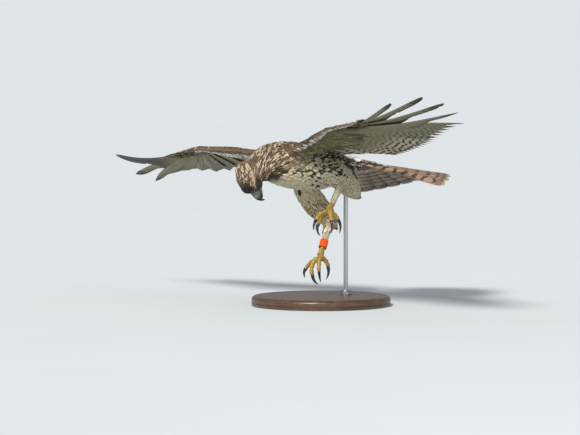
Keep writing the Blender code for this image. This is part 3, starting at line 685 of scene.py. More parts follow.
def flight_set(name, side):
    wing = WINGS[side]
    fs = wing.feathers
    t = np.linspace(0, 1, FLIGHT_STATIONS)
    C, WL, WR, tilts = [], [], [], []
    for i, f in enumerate(fs):
        line = shaft(f, t)
        C.append(line)
        k = f["number"]
        if i + 1 < len(fs):
            gap = np.linalg.norm(shaft(fs[i + 1], t) - line, axis=1)
            opens = fs[i + 1]["slot"] if fs[i + 1]["kind"] == "P" and f["kind"] == "P" else 0.97
        else:
            gap, opens = np.full(len(t), 0.014), 0.97
        before = 1.0 - ease((t - opens + 0.16) / 0.24)
        if f["kind"] == "P":
            free = {10: 0.0085, 9: 0.0118, 8: 0.0125, 7: 0.0130, 6: 0.0145}.get(k, 0.0185)
            lead = {10: 0.0040, 9: 0.0048}.get(k, 0.0058 if k > 5 else 0.0085)
            trail = lerp(free, np.clip(1.35 * gap, free, 0.036), before)
            end = tip_shape(t, 0.80, 2.4, 0.5) if k > 7 else tip_shape(t, 0.66 if k > 6 else 0.72, 2.0, 0.7)
            lead_w = np.full(len(t), lead)
            if k <= 6:
                lead_w += 0.003 * (1 - ease((t - 0.5) / 0.3))
            tilts.append(math.radians({10: 30.0, 9: 30.0, 8: 16.0}.get(k, 5.0) if wing.mirror < 0 else 5.0))
        else:
            free, lead = 0.0175, 0.0115
            trail = lerp(free, np.clip(1.5 * gap, free, 0.030), before * (1 - 0.55 * t))
            end = tip_shape(t, 0.80, 1.6, 0.85)
            lead_w = np.full(len(t), lead)
            tilts.append(math.radians(3.5))
        start = 0.10 + 0.90 * ease(t / 0.10)
        r = np.random.default_rng(SEED + 31 * i + (7 if side == "left" else 0))
        for width, target in ((lead_w * end * start, WL), (trail * end * start, WR)):
            nick = np.zeros(len(t))
            for _ in range(r.integers(1, 4)):
                nick[r.integers(18, len(t) - 3)] = r.uniform(0.10, 0.26)
            ripple = 1.0 + 0.012 * np.sin(np.arange(len(t)) * 2.1 + r.uniform(0, 6))
            target.append(np.maximum(width * (1 - nick * (end > 0.5)) * ripple, 0.0004))
    C = np.array(C)
    # each feather lies a little under its inner neighbour
    T, N, S = frames_of(C, np.broadcast_to((0.0, 0.0, 1.0), C.shape))
    lead_dir = np.array([[math.cos(math.radians(f["back"])), math.sin(math.radians(f["back"])), 0]
                         for f in fs])[:, None]
    S = S * np.sign(np.sum(S * lead_dir, -1, keepdims=True))
    N, S = tilt(N, S, np.array(tilts)[:, None] * np.ones((1, len(t))))
    # +S is the leading side, so T x S points down: the faces need a turn
    V, q, tr, info = vane_mesh(C, N, S, np.array(WL), np.array(WR), FLIGHT_V, 0.00045,
                               camber=0.07, rachis=0.0011, flip=wing.mirror > 0)
    obj = new_mesh(name, wing.local(V), q, tr)
    kinds = np.array([{"P": 0.0, "S": 0.5, "T": 1.0}[f["kind"]] for f in fs])
    numbers = np.array([f["number"] / 12.0 for f in fs])
    k = info[:, 3].astype(int)
    put_colour(obj, "vane", np.stack([info[:, 0], info[:, 1] * 0.5 + 0.5, info[:, 2],
                                      rng.uniform(0, 1, len(fs))[k]], 1))
    # right wing P9 and P10 are flagged (0.15) for a blue-black underside: painted sky reflection and shade
    no_painted_reflection = np.array([0.15 if wing.mirror < 0 and f["kind"] == "P" and f["number"] > 8 else 1.0 for f in fs])
    put_colour(obj, "which", np.stack([kinds[k], numbers[k], wing.length[k] / 0.32, no_painted_reflection[k]], 1))
    strips_uv(obj, info, len(fs))
    return obj


def strips_uv(obj, info, count):
    """OFBake for long feathers: every face of every feather has a strip."""
    k = info[:, 3].astype(int)
    lower = info[:, 2] < 0.5
    width = 1.0 / (2 * count)
    layer = obj.data.uv_layers.new(name="OFBake")
    loops = len(obj.data.loops)
    vi = np.zeros(loops, np.int32)
    obj.data.loops.foreach_get("vertex_index", vi)
    total = np.zeros(len(obj.data.polygons), np.int32)
    obj.data.polygons.foreach_get("loop_total", total)
    face = np.repeat(np.arange(len(total)), total)
    any_low = np.zeros(len(total), bool)
    np.logical_or.at(any_low, face, lower[vi])
    strip = 2 * k[vi] + any_low[face]
    u = (strip + 0.06 + 0.88 * (info[vi, 1] * 0.5 + 0.5)) * width
    uv = np.stack([u, 0.004 + 0.992 * info[vi, 0]], 1).astype(np.float32)
    layer.data.foreach_set("uv", uv.ravel())


def tail_set(name):
    t = np.linspace(0, 1, FLIGHT_STATIONS)
    step = 2 * TAIL_SPREAD / (TAIL_FEATHERS - 1)
    angles = np.array([TAIL_SPREAD - step * i for i in range(TAIL_FEATHERS)])
    C = np.array([tail_point(a, np.maximum(t, 0.0)) for a in angles])
    outward = np.sign(angles)
    order = np.abs(angles) / TAIL_SPREAD
    C[..., 2] += (0.0016 - 0.0030 * order)[:, None] * (1 - 0.3 * t)
    T, N, S = frames_of(C, np.broadcast_to((0.0, 0.0, 1.0), C.shape))
    left = np.array((0.0, 1.0, 0.0))
    S = S * np.sign(np.sum(S * left, -1, keepdims=True))
    end = tip_shape(t, 0.86, 2.6, 0.52)
    grow = 0.22 + 0.78 * ease(t / 0.45)
    outer, inner = [], []
    for i in range(TAIL_FEATHERS):
        r = np.random.default_rng(SEED + 977 * i)
        for base, target in ((0.0140, outer), (0.0235, inner)):
            nick = np.zeros(len(t))
            for _ in range(r.integers(1, 4)):
                nick[r.integers(18, len(t) - 3)] = r.uniform(0.1, 0.3)
            target.append(np.maximum(base * end * grow * (1 - nick * (end > 0.5)), 0.0004))
    outer, inner = np.array(outer), np.array(inner)
    is_left = (outward > 0)[:, None]
    arch = np.where(outward > 0, -np.arctan(0.54 * order), math.radians(8.0))
    N, S = tilt(N, S, arch[:, None] * np.ones((1, len(t))))
    V, q, tr, info = vane_mesh(C, N, S, np.where(is_left, outer, inner),
                               np.where(is_left, inner, outer), FLIGHT_V, 0.00045,
                               camber=0.07, rachis=0.0010, flip=True)
    obj = new_mesh(name, loc(V), q, tr)
    k = info[:, 3].astype(int)
    put_colour(obj, "vane", np.stack([info[:, 0], info[:, 1] * 0.5 + 0.5, info[:, 2],
                                      rng.uniform(0, 1, TAIL_FEATHERS)[k]], 1))
    put_colour(obj, "which", np.stack([order[k], (outward[k] + 1) / 2, np.ones(len(k)),
                                       np.ones(len(k))], 1))
    strips_uv(obj, info, TAIL_FEATHERS)
    return obj


def flight_material(name, tail=False):
    g = Graph(name)
    along, across, upper, chance = g.split("vane")
    kind, number, length, plain = g.split("which")
    v = g.math("SUBTRACT", g.math("MULTIPLY", across, 2.0), 1.0)
    wob = g.noise(70.0, 2.0)
    fine = g.noise(900.0, 2.0, 0.6)
    trailing = g.step(v, 0.05, -0.05)               # 1 on the broad inner vane
    if not tail:
        # bars slant back from the shaft
        phase = g.math("ADD", g.math("MULTIPLY", along, g.math("MULTIPLY", length, 24.0)),
                       g.math("ADD", g.math("MULTIPLY", g.math("ABSOLUTE", v), -0.45),
                              g.math("ADD", g.math("MULTIPLY", wob, 0.7), chance)))
        wave = g.math("SINE", g.math("MULTIPLY", phase, 2 * math.pi))
        bar = g.step(wave, 0.10, 0.50)
        inner = g.step(kind, 0.05, 0.4)             # secondaries and tertials
        primary = g.math("SUBTRACT", 1.0, inner)
        # from the slots outward the outer primaries have plain dark fingers
        outer = g.step(number, 0.44, 0.60)
        finger = g.math("MULTIPLY", g.math("MULTIPLY", primary, outer),
                        g.step(along, 0.80, 0.90))
        band = g.math("MULTIPLY", g.math("MULTIPLY", g.step(along, 0.905, 0.93), g.step(along, 0.99, 0.97)),
                      g.step(wob, 0.42, 0.55))
        border = g.math("MULTIPLY", g.math("MULTIPLY", primary, outer),
                        g.math("MULTIPLY", g.step(g.math("ABSOLUTE", v), 0.62, 0.92),
                               g.step(along, 0.35, 0.55)))
        pale_tip = g.math("MULTIPLY", g.step(along, 0.965, 0.985),
                          g.math("SUBTRACT", 1.0, g.math("MULTIPLY", primary, outer)))
        keep = g.math("MULTIPLY", bar, g.math("ADD", 0.25, g.math("MULTIPLY", trailing, 0.75)))
        shade = g.step(along, 0.10, 0.55)
        # underside: olive, partly the feathers' own colour and partly painted shade and ground reflection, and
        # towards the trailing edge dark and pale bars
        late = g.step(along, 0.52, 0.80)
        low = g.mix(g.step(along, 0.14, 0.42), (0.152, 0.142, 0.054), (0.215, 0.188, 0.100))
        low = g.mix(g.math("MULTIPLY", g.math("MULTIPLY", late, inner), 0.72), low, (0.60, 0.52, 0.40))
        dark = g.math("MULTIPLY", keep, g.math("ADD", g.math("MULTIPLY", shade, 0.48),
                                               g.math("MULTIPLY", late, 0.47)))
        low = g.mix(dark, low, (0.032, 0.027, 0.017))
        low = g.mix(g.math("MULTIPLY", g.step(v, -0.84, -0.98), 0.35), low, (0.50, 0.44, 0.34))
        low = g.mix(g.math("MULTIPLY", band, 0.75), low, (0.045, 0.037, 0.028))
        low = g.mix(g.math("MULTIPLY", pale_tip, 0.65), low, (0.60, 0.50, 0.40))
        low = g.mix(g.math("MULTIPLY", border, 0.80), low, (0.030, 0.026, 0.022))
        low = g.mix(g.math("MULTIPLY", finger, 0.94), low, (0.016, 0.015, 0.015))
        # the flagged outer primaries get a blue-black underside from the middle out: painted sky reflection and
        # shade
        low = g.mix(g.math("MULTIPLY", g.step(along, 0.22, 0.42), g.math("SUBTRACT", 1.0, plain)),
                    low, (0.034, 0.036, 0.052))
        up = g.mix(shade, (0.110, 0.072, 0.044), (0.140, 0.097, 0.064))
        up = g.mix(g.math("MULTIPLY", keep, 0.72), up, (0.036, 0.025, 0.018))
        up = g.mix(g.math("MULTIPLY", band, 0.80), up, (0.030, 0.022, 0.017))
        up = g.mix(g.math("MULTIPLY", pale_tip, 0.6), up, (0.38, 0.31, 0.24))
        up = g.mix(g.math("MULTIPLY", border, 0.70), up, (0.022, 0.018, 0.016))
        up = g.mix(g.math("MULTIPLY", finger, 0.93), up, (0.014, 0.014, 0.018))
    else:
        phase = g.math("ADD", g.math("MULTIPLY", along, 9.0), g.math("MULTIPLY", wob, 0.8))
        wave = g.math("SINE", g.math("MULTIPLY", phase, 2 * math.pi))
        spot = g.math("MULTIPLY", g.step(wave, 0.25, 0.60), g.step(g.math("ABSOLUTE", v), 0.95, 0.40))
        band = g.math("MULTIPLY", g.step(along, 0.895, 0.912), g.step(along, 0.960, 0.945))
        tip = g.step(along, 0.955, 0.975)
        side_bar = g.math("MULTIPLY", g.step(wave, 0.10, 0.5), g.step(along, 0.12, 0.35))
        edge = g.step(g.math("ABSOLUTE", v), 0.78, 0.96)
        up = g.mix(wob, (0.340, 0.215, 0.140), (0.450, 0.300, 0.210))
        up = g.mix(g.math("MULTIPLY", g.step(along, 0.42, 0.20), 0.45), up, (0.62, 0.42, 0.28))
        up = g.mix(g.math("MULTIPLY", g.step(v, -0.10, -0.75), 0.55), up, (0.115, 0.062, 0.040))
        up = g.mix(g.math("MULTIPLY", spot, 0.90), up, (0.045, 0.025, 0.018))
        up = g.mix(g.math("MULTIPLY", edge, 0.55), up, (0.66, 0.47, 0.34))
        up = g.mix(g.math("MULTIPLY", band, 0.50), up, (0.060, 0.036, 0.026))
        up = g.mix(g.math("MULTIPLY", tip, 0.6), up, (0.62, 0.46, 0.36))
        low = g.mix(wob, (0.290, 0.235, 0.140), (0.370, 0.295, 0.195))
        low = g.mix(g.math("MULTIPLY", side_bar, 0.82), low, (0.046, 0.036, 0.026))
        low = g.mix(g.math("MULTIPLY", g.step(v, 0.30, 0.85), g.math("MULTIPLY", g.step(along, 0.35, 0.75), 0.62)),
                    low, (0.065, 0.050, 0.038))
        low = g.mix(g.math("MULTIPLY", g.step(v, -0.80, -0.96), 0.65), low, (0.58, 0.48, 0.37))
        low = g.mix(g.math("MULTIPLY", band, 0.75), low, (0.045, 0.034, 0.026))
        low = g.mix(g.math("MULTIPLY", tip, 0.7), low, (0.64, 0.50, 0.39))
    colour = g.mix(g.step(upper, 0.90, 0.999), low, up)
    # shaft, barbs and feather to feather differences
    stem = g.step(g.math("ABSOLUTE", v), 0.075, 0.03)
    colour = g.mix(g.math("MULTIPLY", stem, 0.55), colour,
                   g.mix(upper, (0.50, 0.44, 0.34), (0.10, 0.065, 0.045)))
    barb = g.math("SINE", g.math("MULTIPLY", g.math("ADD", along, g.math(
        "MULTIPLY", g.math("ABSOLUTE", v), 0.06)), 760.0))
    light = g.math("ADD", 0.80, g.math("ADD", g.math("MULTIPLY", fine, 0.28),
                                      g.math("MULTIPLY", chance, 0.14)))
    rgb = g.node("ShaderNodeCombineColor")
    for s in rgb.inputs:
        g.plug(s, light)
    colour = g.mix(1.0, colour, rgb.outputs[0], "MULTIPLY")
    height = g.math("ADD", g.math("MULTIPLY", barb, 0.5), fine)
    return g.finish(colour, g.math("ADD", 0.50, g.math("MULTIPLY", fine, 0.22)),
                    g.bump(height, 0.35, 0.0004), Specular_IOR_Level=0.35)


FLIGHT = flight_material("flight_feather")
TAIL = flight_material("tail_feather", tail=True)
for side in ("left", "right"):
    obj = flight_set("flight_feathers_" + side, side)
    obj.data.materials.append(FLIGHT)
    ride(obj, None)
obj = tail_set("tail_feathers")
obj.data.materials.append(TAIL)
ride(obj, None)

# ------------------------------------------------------------------ the legs
THIGHS = {
    "left": [
        (-0.0500, +0.036, -0.0220, 0.0160, 0.0200, 0.0180),
        (-0.0720, +0.041, -0.0240, 0.0210, 0.0240, 0.0220),
        (-0.0960, +0.045, -0.0290, 0.0250, 0.0270, 0.0235),
        (-0.1180, +0.047, -0.0400, 0.0270, 0.0270, 0.0225),
        (-0.1330, +0.049, -0.0555, 0.0240, 0.0220, 0.0185),
        (-0.1440, +0.050, -0.0670, 0.0155, 0.0150, 0.0130),
        (-0.1520, +0.050, -0.0745, 0.0060, 0.0060, 0.0055),
    ],
    "right": [
        (-0.0640, -0.031, -0.0270, 0.0190, 0.0190, 0.0170),
        (-0.0740, -0.034, -0.0450, 0.0240, 0.0230, 0.0210),
        (-0.0850, -0.036, -0.0610, 0.0255, 0.0255, 0.0220),
        (-0.1030, -0.037, -0.0810, 0.0265, 0.0265, 0.0215),
        (-0.1270, -0.038, -0.1010, 0.0225, 0.0225, 0.0185),
        (-0.1420, -0.039, -0.1150, 0.0165, 0.0160, 0.0135),
        (-0.1540, -0.040, -0.1270, 0.0070, 0.0065, 0.0055),
    ],
}
ANKLES = {"left": (-0.1065, 0.0560, -0.0535), "right": (-0.1400, -0.0385, -0.1170)}
FEET = {"left": (-0.0604, 0.0847, -0.1086), "right": (-0.1033, -0.0161, -0.1885)}
BAND_AT, BAND_HEIGHT, BAND_OUTER, BAND_INNER = 0.67, 0.0180, 0.0084, 0.0064
TOES = {
    "left": {
        "hallux": (178.0, 8.0, 62.0, 0.0250, 0.0050, 0.0290, 72.0),
        "inner": (-39.0, 20.0, 74.0, 0.0330, 0.0050, 0.0265, 80.0),
        "middle": (13.0, 0.0, 54.0, 0.0430, 0.0048, 0.0235, 66.0),
        "outer": (66.0, 10.0, 66.0, 0.0350, 0.0045, 0.0200, 70.0),
    },
    "right": {
        "hallux": (176.0, 5.0, 84.0, 0.0260, 0.0050, 0.0285, 62.0),
        "inner": (42.0, 28.0, 112.0, 0.0320, 0.0050, 0.0260, 50.0),
        "middle": (2.0, 12.0, 112.0, 0.0470, 0.0048, 0.0235, 62.0),
        "outer": (-34.0, 12.0, 62.0, 0.0370, 0.0045, 0.0200, 72.0),
    },
}


def bow(start, yaw, pitch0, pitch1, length, steps):
    points, y = [np.asarray(start, float)], math.radians(yaw)
    for i in range(steps):
        p = math.radians(lerp(pitch0, pitch1, (i + 0.5) / steps))
        step = at(math.cos(y) * math.cos(p), math.sin(y) * math.cos(p), -math.sin(p))
        points.append(points[-1] + step * (length / steps))
    return np.array(points)


def toe_line(side, toe, steps=24):
    yaw, pitch0, pitch1, length, r, claw, curl = TOES[side][toe]
    return bow(at(*FEET[side]) + at(0, 0, -0.0050), yaw, pitch0, pitch1, length, steps)


def toe_radii(r, steps=24):
    t = np.linspace(0, 1, steps + 1)
    return r * (1 - 0.22 * t) + 0.00055 * np.cos(t * 3.5 * 2 * np.pi)


def shank_radii(side, t, coat):
    feathered = 0.0085 if side == "left" else 0.0110
    r = np.where(t < 0.58, lerp(feathered - coat, 0.0046, ease(t / 0.58)),
                 0.0046 + 0.0022 * ease((t - 0.78) / 0.22))
    return r


# ------------------------------------------------------------------ the skin
COAT_TRUNK, COAT_NECK, COAT_HEAD, COAT_THIGH, COAT_WING = 0.0045, 0.0034, 0.0017, 0.0034, 0.0015
TAIL_STUB = [
    (-0.2350, -0.0065, 0.0330, 0.0010, 0.0014, 0.0),
    (-0.2080, -0.0030, 0.0280, 0.0034, 0.0052, 0.0),
    (-0.1880, -0.0008, 0.0225, 0.0072, 0.0100, 0.0),
]


def body_stations(steps):
    """Stations of tail stub, trunk and neck with the coat's depth taken off."""
    rows = []
    for i, r in enumerate(TRUNK):
        coat = COAT_TRUNK if i < NECK_FROM else COAT_NECK
        coat = 0.0030 if i == 0 else coat
        rows.append((r[0], r[1], r[2] - coat, r[3] - coat, r[4] - coat, r[5]))
    return smooth_stations(TAIL_STUB + rows, steps)


def thigh_rings(side, coat, steps, count):
    rows = smooth_stations(THIGHS[side], steps)
    centres = loc(rows[:, :3])
    rings = []
    for c, along, r in zip(centres, tangents(centres), rows):
        s = unit(SIDE - along * np.dot(SIDE, along))
        up = np.cross(s, along)
        up = -up if up[2] < 0 else up
        small = np.maximum(r[3:] - coat, 0.0022)
        rings.append(oval(c, s, up, small[2], small[0], small[1], count, 2.0))
    return rings


def ring_solid(centre, a, b, major_a, major_b, minor, count=40, around=10, lift=None):
    """A closed ring about centre, in the plane of a and b."""
    out = []
    n = np.cross(a, b)
    for i in range(count):
        t = 2 * math.pi * i / count
        d = unit(a * math.cos(t) * major_a + b * math.sin(t) * major_b)
        c = centre + a * math.cos(t) * major_a + b * math.sin(t) * major_b
        if lift:
            c = c + n * lift(t)
        s = 2 * np.pi * np.arange(around) / around
        out.append(c + np.outer(np.cos(s) * minor, d) + np.outer(np.sin(s) * minor, n))
    v = np.concatenate(out)
    i, k = np.meshgrid(np.arange(count), np.arange(around), indexing="ij")
    j, l = (i + 1) % count, (k + 1) % around
    q = np.stack([i * around + k, i * around + l, j * around + l, j * around + k], -1)
    return v, q.reshape(-1, 4), np.zeros((0, 3), int)


def wing_flesh(side):
    wing = WINGS[side]
    xs = np.concatenate([np.linspace(0, 24, 73), [24.0, 24.0]])
    shift = np.concatenate([np.zeros(73), [0.5, 1.0]])
    f = np.linspace(0, 1, 20)
    top, low = [], []
    for x, inward in zip(xs, shift):
        edge = float(wing.edge_at(x))
        reach = 0.026 + 0.022 * ease((x - 6) / 8)
        w = -edge + (edge + reach) * f
        p = wing.point(np.full(20, x), w)
        up, down = wing.thick(np.full(20, x), w)
        coat = COAT_WING * np.clip(f * 9, 0.2, 1)
        taper = 1 - 0.6 * ease((f - 0.7) / 0.3)
        hi = np.maximum((up - coat) * taper, 0.0008)
        lo = np.maximum((down - coat * 0.8) * taper, 0.0008)
        p = p + np.array((0.0, -0.024, -0.006)) * inward
        top.append(p + hi[:, None] * (0, 0, 1))
        low.append(p - lo[:, None] * (0, 0, 1))
    top, low = np.array(top), np.array(low)
    a, b = top.shape[:2]
    v = np.concatenate([top.reshape(-1, 3), low.reshape(-1, 3)])
    i, j = np.meshgrid(np.arange(a - 1), np.arange(b - 1), indexing="ij")
    q = np.stack([i * b + j, (i + 1) * b + j, (i + 1) * b + j + 1, i * b + j + 1], -1).reshape(-1, 4)
    quads = [q, q[:, ::-1] + a * b]
    rim = ([(i, 0) for i in range(a)] + [(a - 1, j) for j in range(1, b)]
           + [(i, b - 1) for i in range(a - 2, -1, -1)] + [(0, j) for j in range(b - 2, 0, -1)])
    ids = np.array([i * b + j for i, j in rim])
    nxt = np.roll(ids, -1)
    quads.append(np.stack([nxt, ids, ids + a * b, nxt + a * b], 1))
    return wing.local(v), np.concatenate(quads), np.zeros((0, 3), int)


def eye_frame(side):
    """Centre of the eyeball, outward axis, and the lids' long and short way."""
    s = 1 if side == "left" else -1
    centre = head(EYE_ALONG, EYE_CROWN, s * EYE_SIDE)
    out = unit(HEAD_LEFT * s * 0.950 + HEAD_ALONG * 0.300 + HEAD_UP * 0.02)
    long_way = unit(HEAD_ALONG - out * np.dot(HEAD_ALONG, out))
    return centre, out, long_way, np.cross(out, long_way)


soup = Soup()
rings = []
for f, u, w, top, bottom, pitch in body_stations(4):
    p = math.radians(pitch)
    rings.append(oval(at(f, 0, u), SIDE, at(math.sin(p), 0, math.cos(p)), w, top, bottom, 44, 2.15))
soup.add(closed_loft(rings))
rings = []
for a, w, crown, throat in smooth_stations(HEAD, 4):
    coat = COAT_HEAD * (1 - 0.75 * float(ease((a - 16) / 9)))
    rings.append(oval(head(a, 0), HEAD_LEFT, HEAD_UP, w * MM - coat, crown * MM - coat,
                      throat * MM - coat, 44, 2.1))
soup.add(closed_loft(rings))
for side, s in (("left", 1), ("right", -1)):
    # brow, cheek and gape
    brow = smooth_stations([head(25.0, 8.6, s * 10.4), head(21.5, 10.8, s * 14.9),
                            head(16.5, 12.2, s * 18.4), head(10.5, 12.4, s * 20.4),
                            head(4.0, 10.2, s * 21.6)], 5)
    soup.add(swept(brow, np.interp(np.linspace(0, 1, 21), (0, .3, .6, 1),
                                   (.0013, .0024, .0024, .0012)), 12))
    gape = smooth_stations([head(27.2, -6.6, s * 8.6), head(22.5, -7.6, s * 12.6),
                            head(17.0, -8.6, s * 15.9), head(12.5, -8.2, s * 18.0)], 5)
    soup.add(swept(gape, np.linspace(.0014, .0008, 16), 10))
    # upper and lower lid round the opening of the eye
    centre, out, long_way, short_way = eye_frame(side)
    soup.add(ring_solid(centre + out * 0.0060, long_way, short_way, 0.0066, 0.0059, 0.00125,
                        lift=lambda t: -0.0004 * math.cos(2 * t)))
    soup.add(closed_loft(thigh_rings(side, COAT_THIGH, 4, 36)))
    a, b = at(*ANKLES[side]), at(*FEET[side])
    t = np.linspace(0, 1, 40)
    soup.add(swept(a + (b - a) * t[:, None], shank_radii(side, t, 0.0018), 20))
    hub = at(*FEET[side]) + at(0, 0, -0.0055)
    soup.add(swept([hub + at(0, 0, z * 0.0074) for z in np.linspace(-1, 1, 17)],
                   [0.0074 * math.sqrt(max(0.02, 1 - z * z)) for z in np.linspace(-1, 1, 17)], 20))
    for toe, spec in TOES[side].items():
        soup.add(swept(toe_line(side, toe), toe_radii(spec[4]) - 0.0002, 16, flat=0.95))
    soup.add(wing_flesh(side))

raw = new_mesh("skin_raw", *soup.arrays(), local=False)


def evaluated(obj, name):
    dg = bpy.context.evaluated_depsgraph_get()
    mesh = bpy.data.meshes.new_from_object(obj.evaluated_get(dg), depsgraph=dg)
    mesh.name = name
    bpy.data.objects.remove(obj, do_unlink=True)
    out = bpy.data.objects.new(name, mesh)
    bpy.context.scene.collection.objects.link(out)
    return out


m = raw.modifiers.new("remesh", "REMESH")
m.mode, m.voxel_size, m.adaptivity = "VOXEL", 0.00105, 0.0
m = raw.modifiers.new("smooth", "SMOOTH")
m.factor, m.iterations = 0.5, 3
skin = evaluated(raw, "hawk_skin_fine")


def coords(mesh):
    v = np.zeros(len(mesh.vertices) * 3, np.float32)
    mesh.vertices.foreach_get("co", v)
    return v.reshape(-1, 3).astype(float)


def normals(mesh):
    v = np.zeros(len(mesh.vertices) * 3, np.float32)
    mesh.vertices.foreach_get("normal", v)
    return v.reshape(-1, 3).astype(float)


# fine on the face and feet, coarser under the big feathers
p = coords(skin.data)
face_at = head(14, 0)
weight = np.clip(1.6 - np.linalg.norm(p - face_at, axis=1) / 0.022, 0, 1)
for side in FEET:
    weight = np.maximum(weight, np.clip(1.6 - np.linalg.norm(p - at(*FEET[side]), axis=1) / 0.035, 0, 1))
group = skin.vertex_groups.new(name="coarse")
levels = np.round((1 - weight) * 4).astype(int)
for level in range(1, 5):
    group.add(np.nonzero(levels == level)[0].tolist(), level / 4.0, "REPLACE")
total = sum(len(q.vertices) - 2 for q in skin.data.polygons[:2000]) / 2000 * len(skin.data.polygons)
m = skin.modifiers.new("decimate", "DECIMATE")
m.ratio = min(1.0, 150000 / total)
m.vertex_group = "coarse"
m.vertex_group_factor = 1.0
skin = evaluated(skin, "hawk_skin")
print("skin faces", len(skin.data.polygons), "from", total)

# ------------------------------------------- where things are on the skin
TRUNK_, NECK_, HEAD_, THIGH_L, THIGH_R, SHANK_L, SHANK_R, FOOT_L, FOOT_R, WING_L, WING_R = range(11)
spine = [(head(a, 0), -HEAD_ALONG, HEAD_UP, r, HEAD_) for a, r in
         ((27, .012), (20, .019), (11, .024), (0, .026), (-12, .026), (-24, .021))]
for f, u, w, top, bottom, pitch in TRUNK[::-1] + TAIL_STUB[::-1]:
    q = math.radians(pitch)
    spine.append((at(f, 0, u), -at(math.cos(q), 0, -math.sin(q)), at(math.sin(q), 0, math.cos(q)),
                  max(w, 0.020), NECK_ if f > 0.025 else TRUNK_))
SP, ST, SD = (np.array([n[k] for n in spine]) for k in range(3))
SR = np.array([n[3] for n in spine])
SL = np.array([n[4] for n in spine])
SS = np.concatenate([[0], np.cumsum(np.linalg.norm(np.diff(SP, axis=0), axis=1))])
SS = SS / SS[-1]


def spine_frame(P):
    """Place along the spine (0 bill to 1 tail), angle from the back (towards
    the left), tailward direction and nearness of the spine."""
    d2 = ((P[:, None] - SP[None]) ** 2).sum(-1)
    w = 1.0 / (d2 + 2e-5) ** 2.5
    w /= w.sum(1, keepdims=True)
    s, centre, flow, dorsal = w @ SS, w @ SP, unit(w @ ST), unit(w @ SD)
    q = P - centre
    q -= flow * np.sum(q * flow, -1, keepdims=True)
    left = unit(np.cross(flow, dorsal))
    left *= np.sign(np.sum(left * SIDE, -1, keepdims=True) + 1e-9)
    angle = np.arctan2(np.sum(q * left, -1), np.sum(q * dorsal, -1))
    return s, angle, flow, np.sqrt(d2) / SR[None]


limb_nodes = []
for side, thigh_l, shank_l, foot_l in (("left", THIGH_L, SHANK_L, FOOT_L),
                                       ("right", THIGH_R, SHANK_R, FOOT_R)):
    rows = smooth_stations(THIGHS[side], 2)
    c = loc(rows[:, :3])
    for i, (p, d) in enumerate(zip(c, tangents(c))):
        limb_nodes.append((p, d, max(0.012, 0.5 * (rows[i, 3] + rows[i, 5])), thigh_l,
                           i / (len(c) - 1)))
    a, b = at(*ANKLES[side]), at(*FEET[side])
    for k in np.linspace(0, 0.94, 12):
        limb_nodes.append((a + (b - a) * k, unit(b - a), 0.0075, shank_l, k))
    limb_nodes.append((b + at(0, 0, -0.005), unit(b - a), 0.009, foot_l, 0.0))
    for toe in TOES[side]:
        line = toe_line(side, toe, 6)
        for i, (p, d) in enumerate(zip(line[1:], tangents(line)[1:])):
            limb_nodes.append((p, d, 0.0065, foot_l, (i + 1) / 6))
LP, LD = np.array([n[0] for n in limb_nodes]), np.array([n[1] for n in limb_nodes])
LR, LL, LS = (np.array([n[k] for n in limb_nodes]) for k in (2, 3, 4))


def limb_frame(P):
    d2 = ((P[:, None] - LP[None]) ** 2).sum(-1)
    near = np.sqrt(d2) / LR[None]
    k = near.argmin(1)
    w = 1.0 / (d2 + 1e-5) ** 2.5 * (LL[None] == LL[k][:, None])
    w /= w.sum(1, keepdims=True)
    flow = unit(w @ LD)
    q = P - w @ LP
    q -= flow * np.sum(q * flow, -1, keepdims=True)
    ref = unit(np.array((0.0, -1.0, 0.0)) - flow * flow[:, 1:2] * -1.0)
    other = np.cross(flow, ref)
    angle = np.arctan2(np.sum(q * ref, -1), np.sum(q * other, -1))
    return k, w @ LS, angle, flow, near.min(1)


wing_grid = {}
for side in ("left", "right"):
    wing = WINGS[side]
    gx, gf = np.meshgrid(np.linspace(0, 24, 97), np.linspace(0, 1, 24), indexing="ij")
    gw = -wing.edge_at(gx) + (wing.edge_at(gx) + 0.062) * gf
    pts = wing.local(wing.point(gx.ravel(), gw.ravel()))
    wing_grid[side] = (pts, gx.ravel(), gw.ravel())


def describe(P):
    """Label, chart place and flow for points of the skin."""
    s, angle, flow, near_s = spine_frame(P)
    k, along, turn, limb_flow, near_l = limb_frame(P)
    nearest = near_s.argmin(1)
    near = near_s.min(1)
    label = SL[nearest].copy()
    limb = near_l < near
    # below the belly a thigh is a thigh
    label[limb] = LL[k[limb]]
    side_out = np.abs(P[:, 1])
    wing = (side_out > 0.0560) & (P[:, 2] > -0.016 + 0.0 * side_out) & ~((near_l < 0.95) & (P[:, 2] < 0.0))
    wing |= (side_out > 0.080) & (P[:, 2] > -0.04)
    label[wing] = np.where(P[wing, 1] < 0, WING_L, WING_R)
    flow = np.where(np.isin(label, (TRUNK_, NECK_, HEAD_))[:, None], flow, limb_flow)
    return dict(label=label, s=s, angle=angle, flow=flow, along=along, turn=turn)


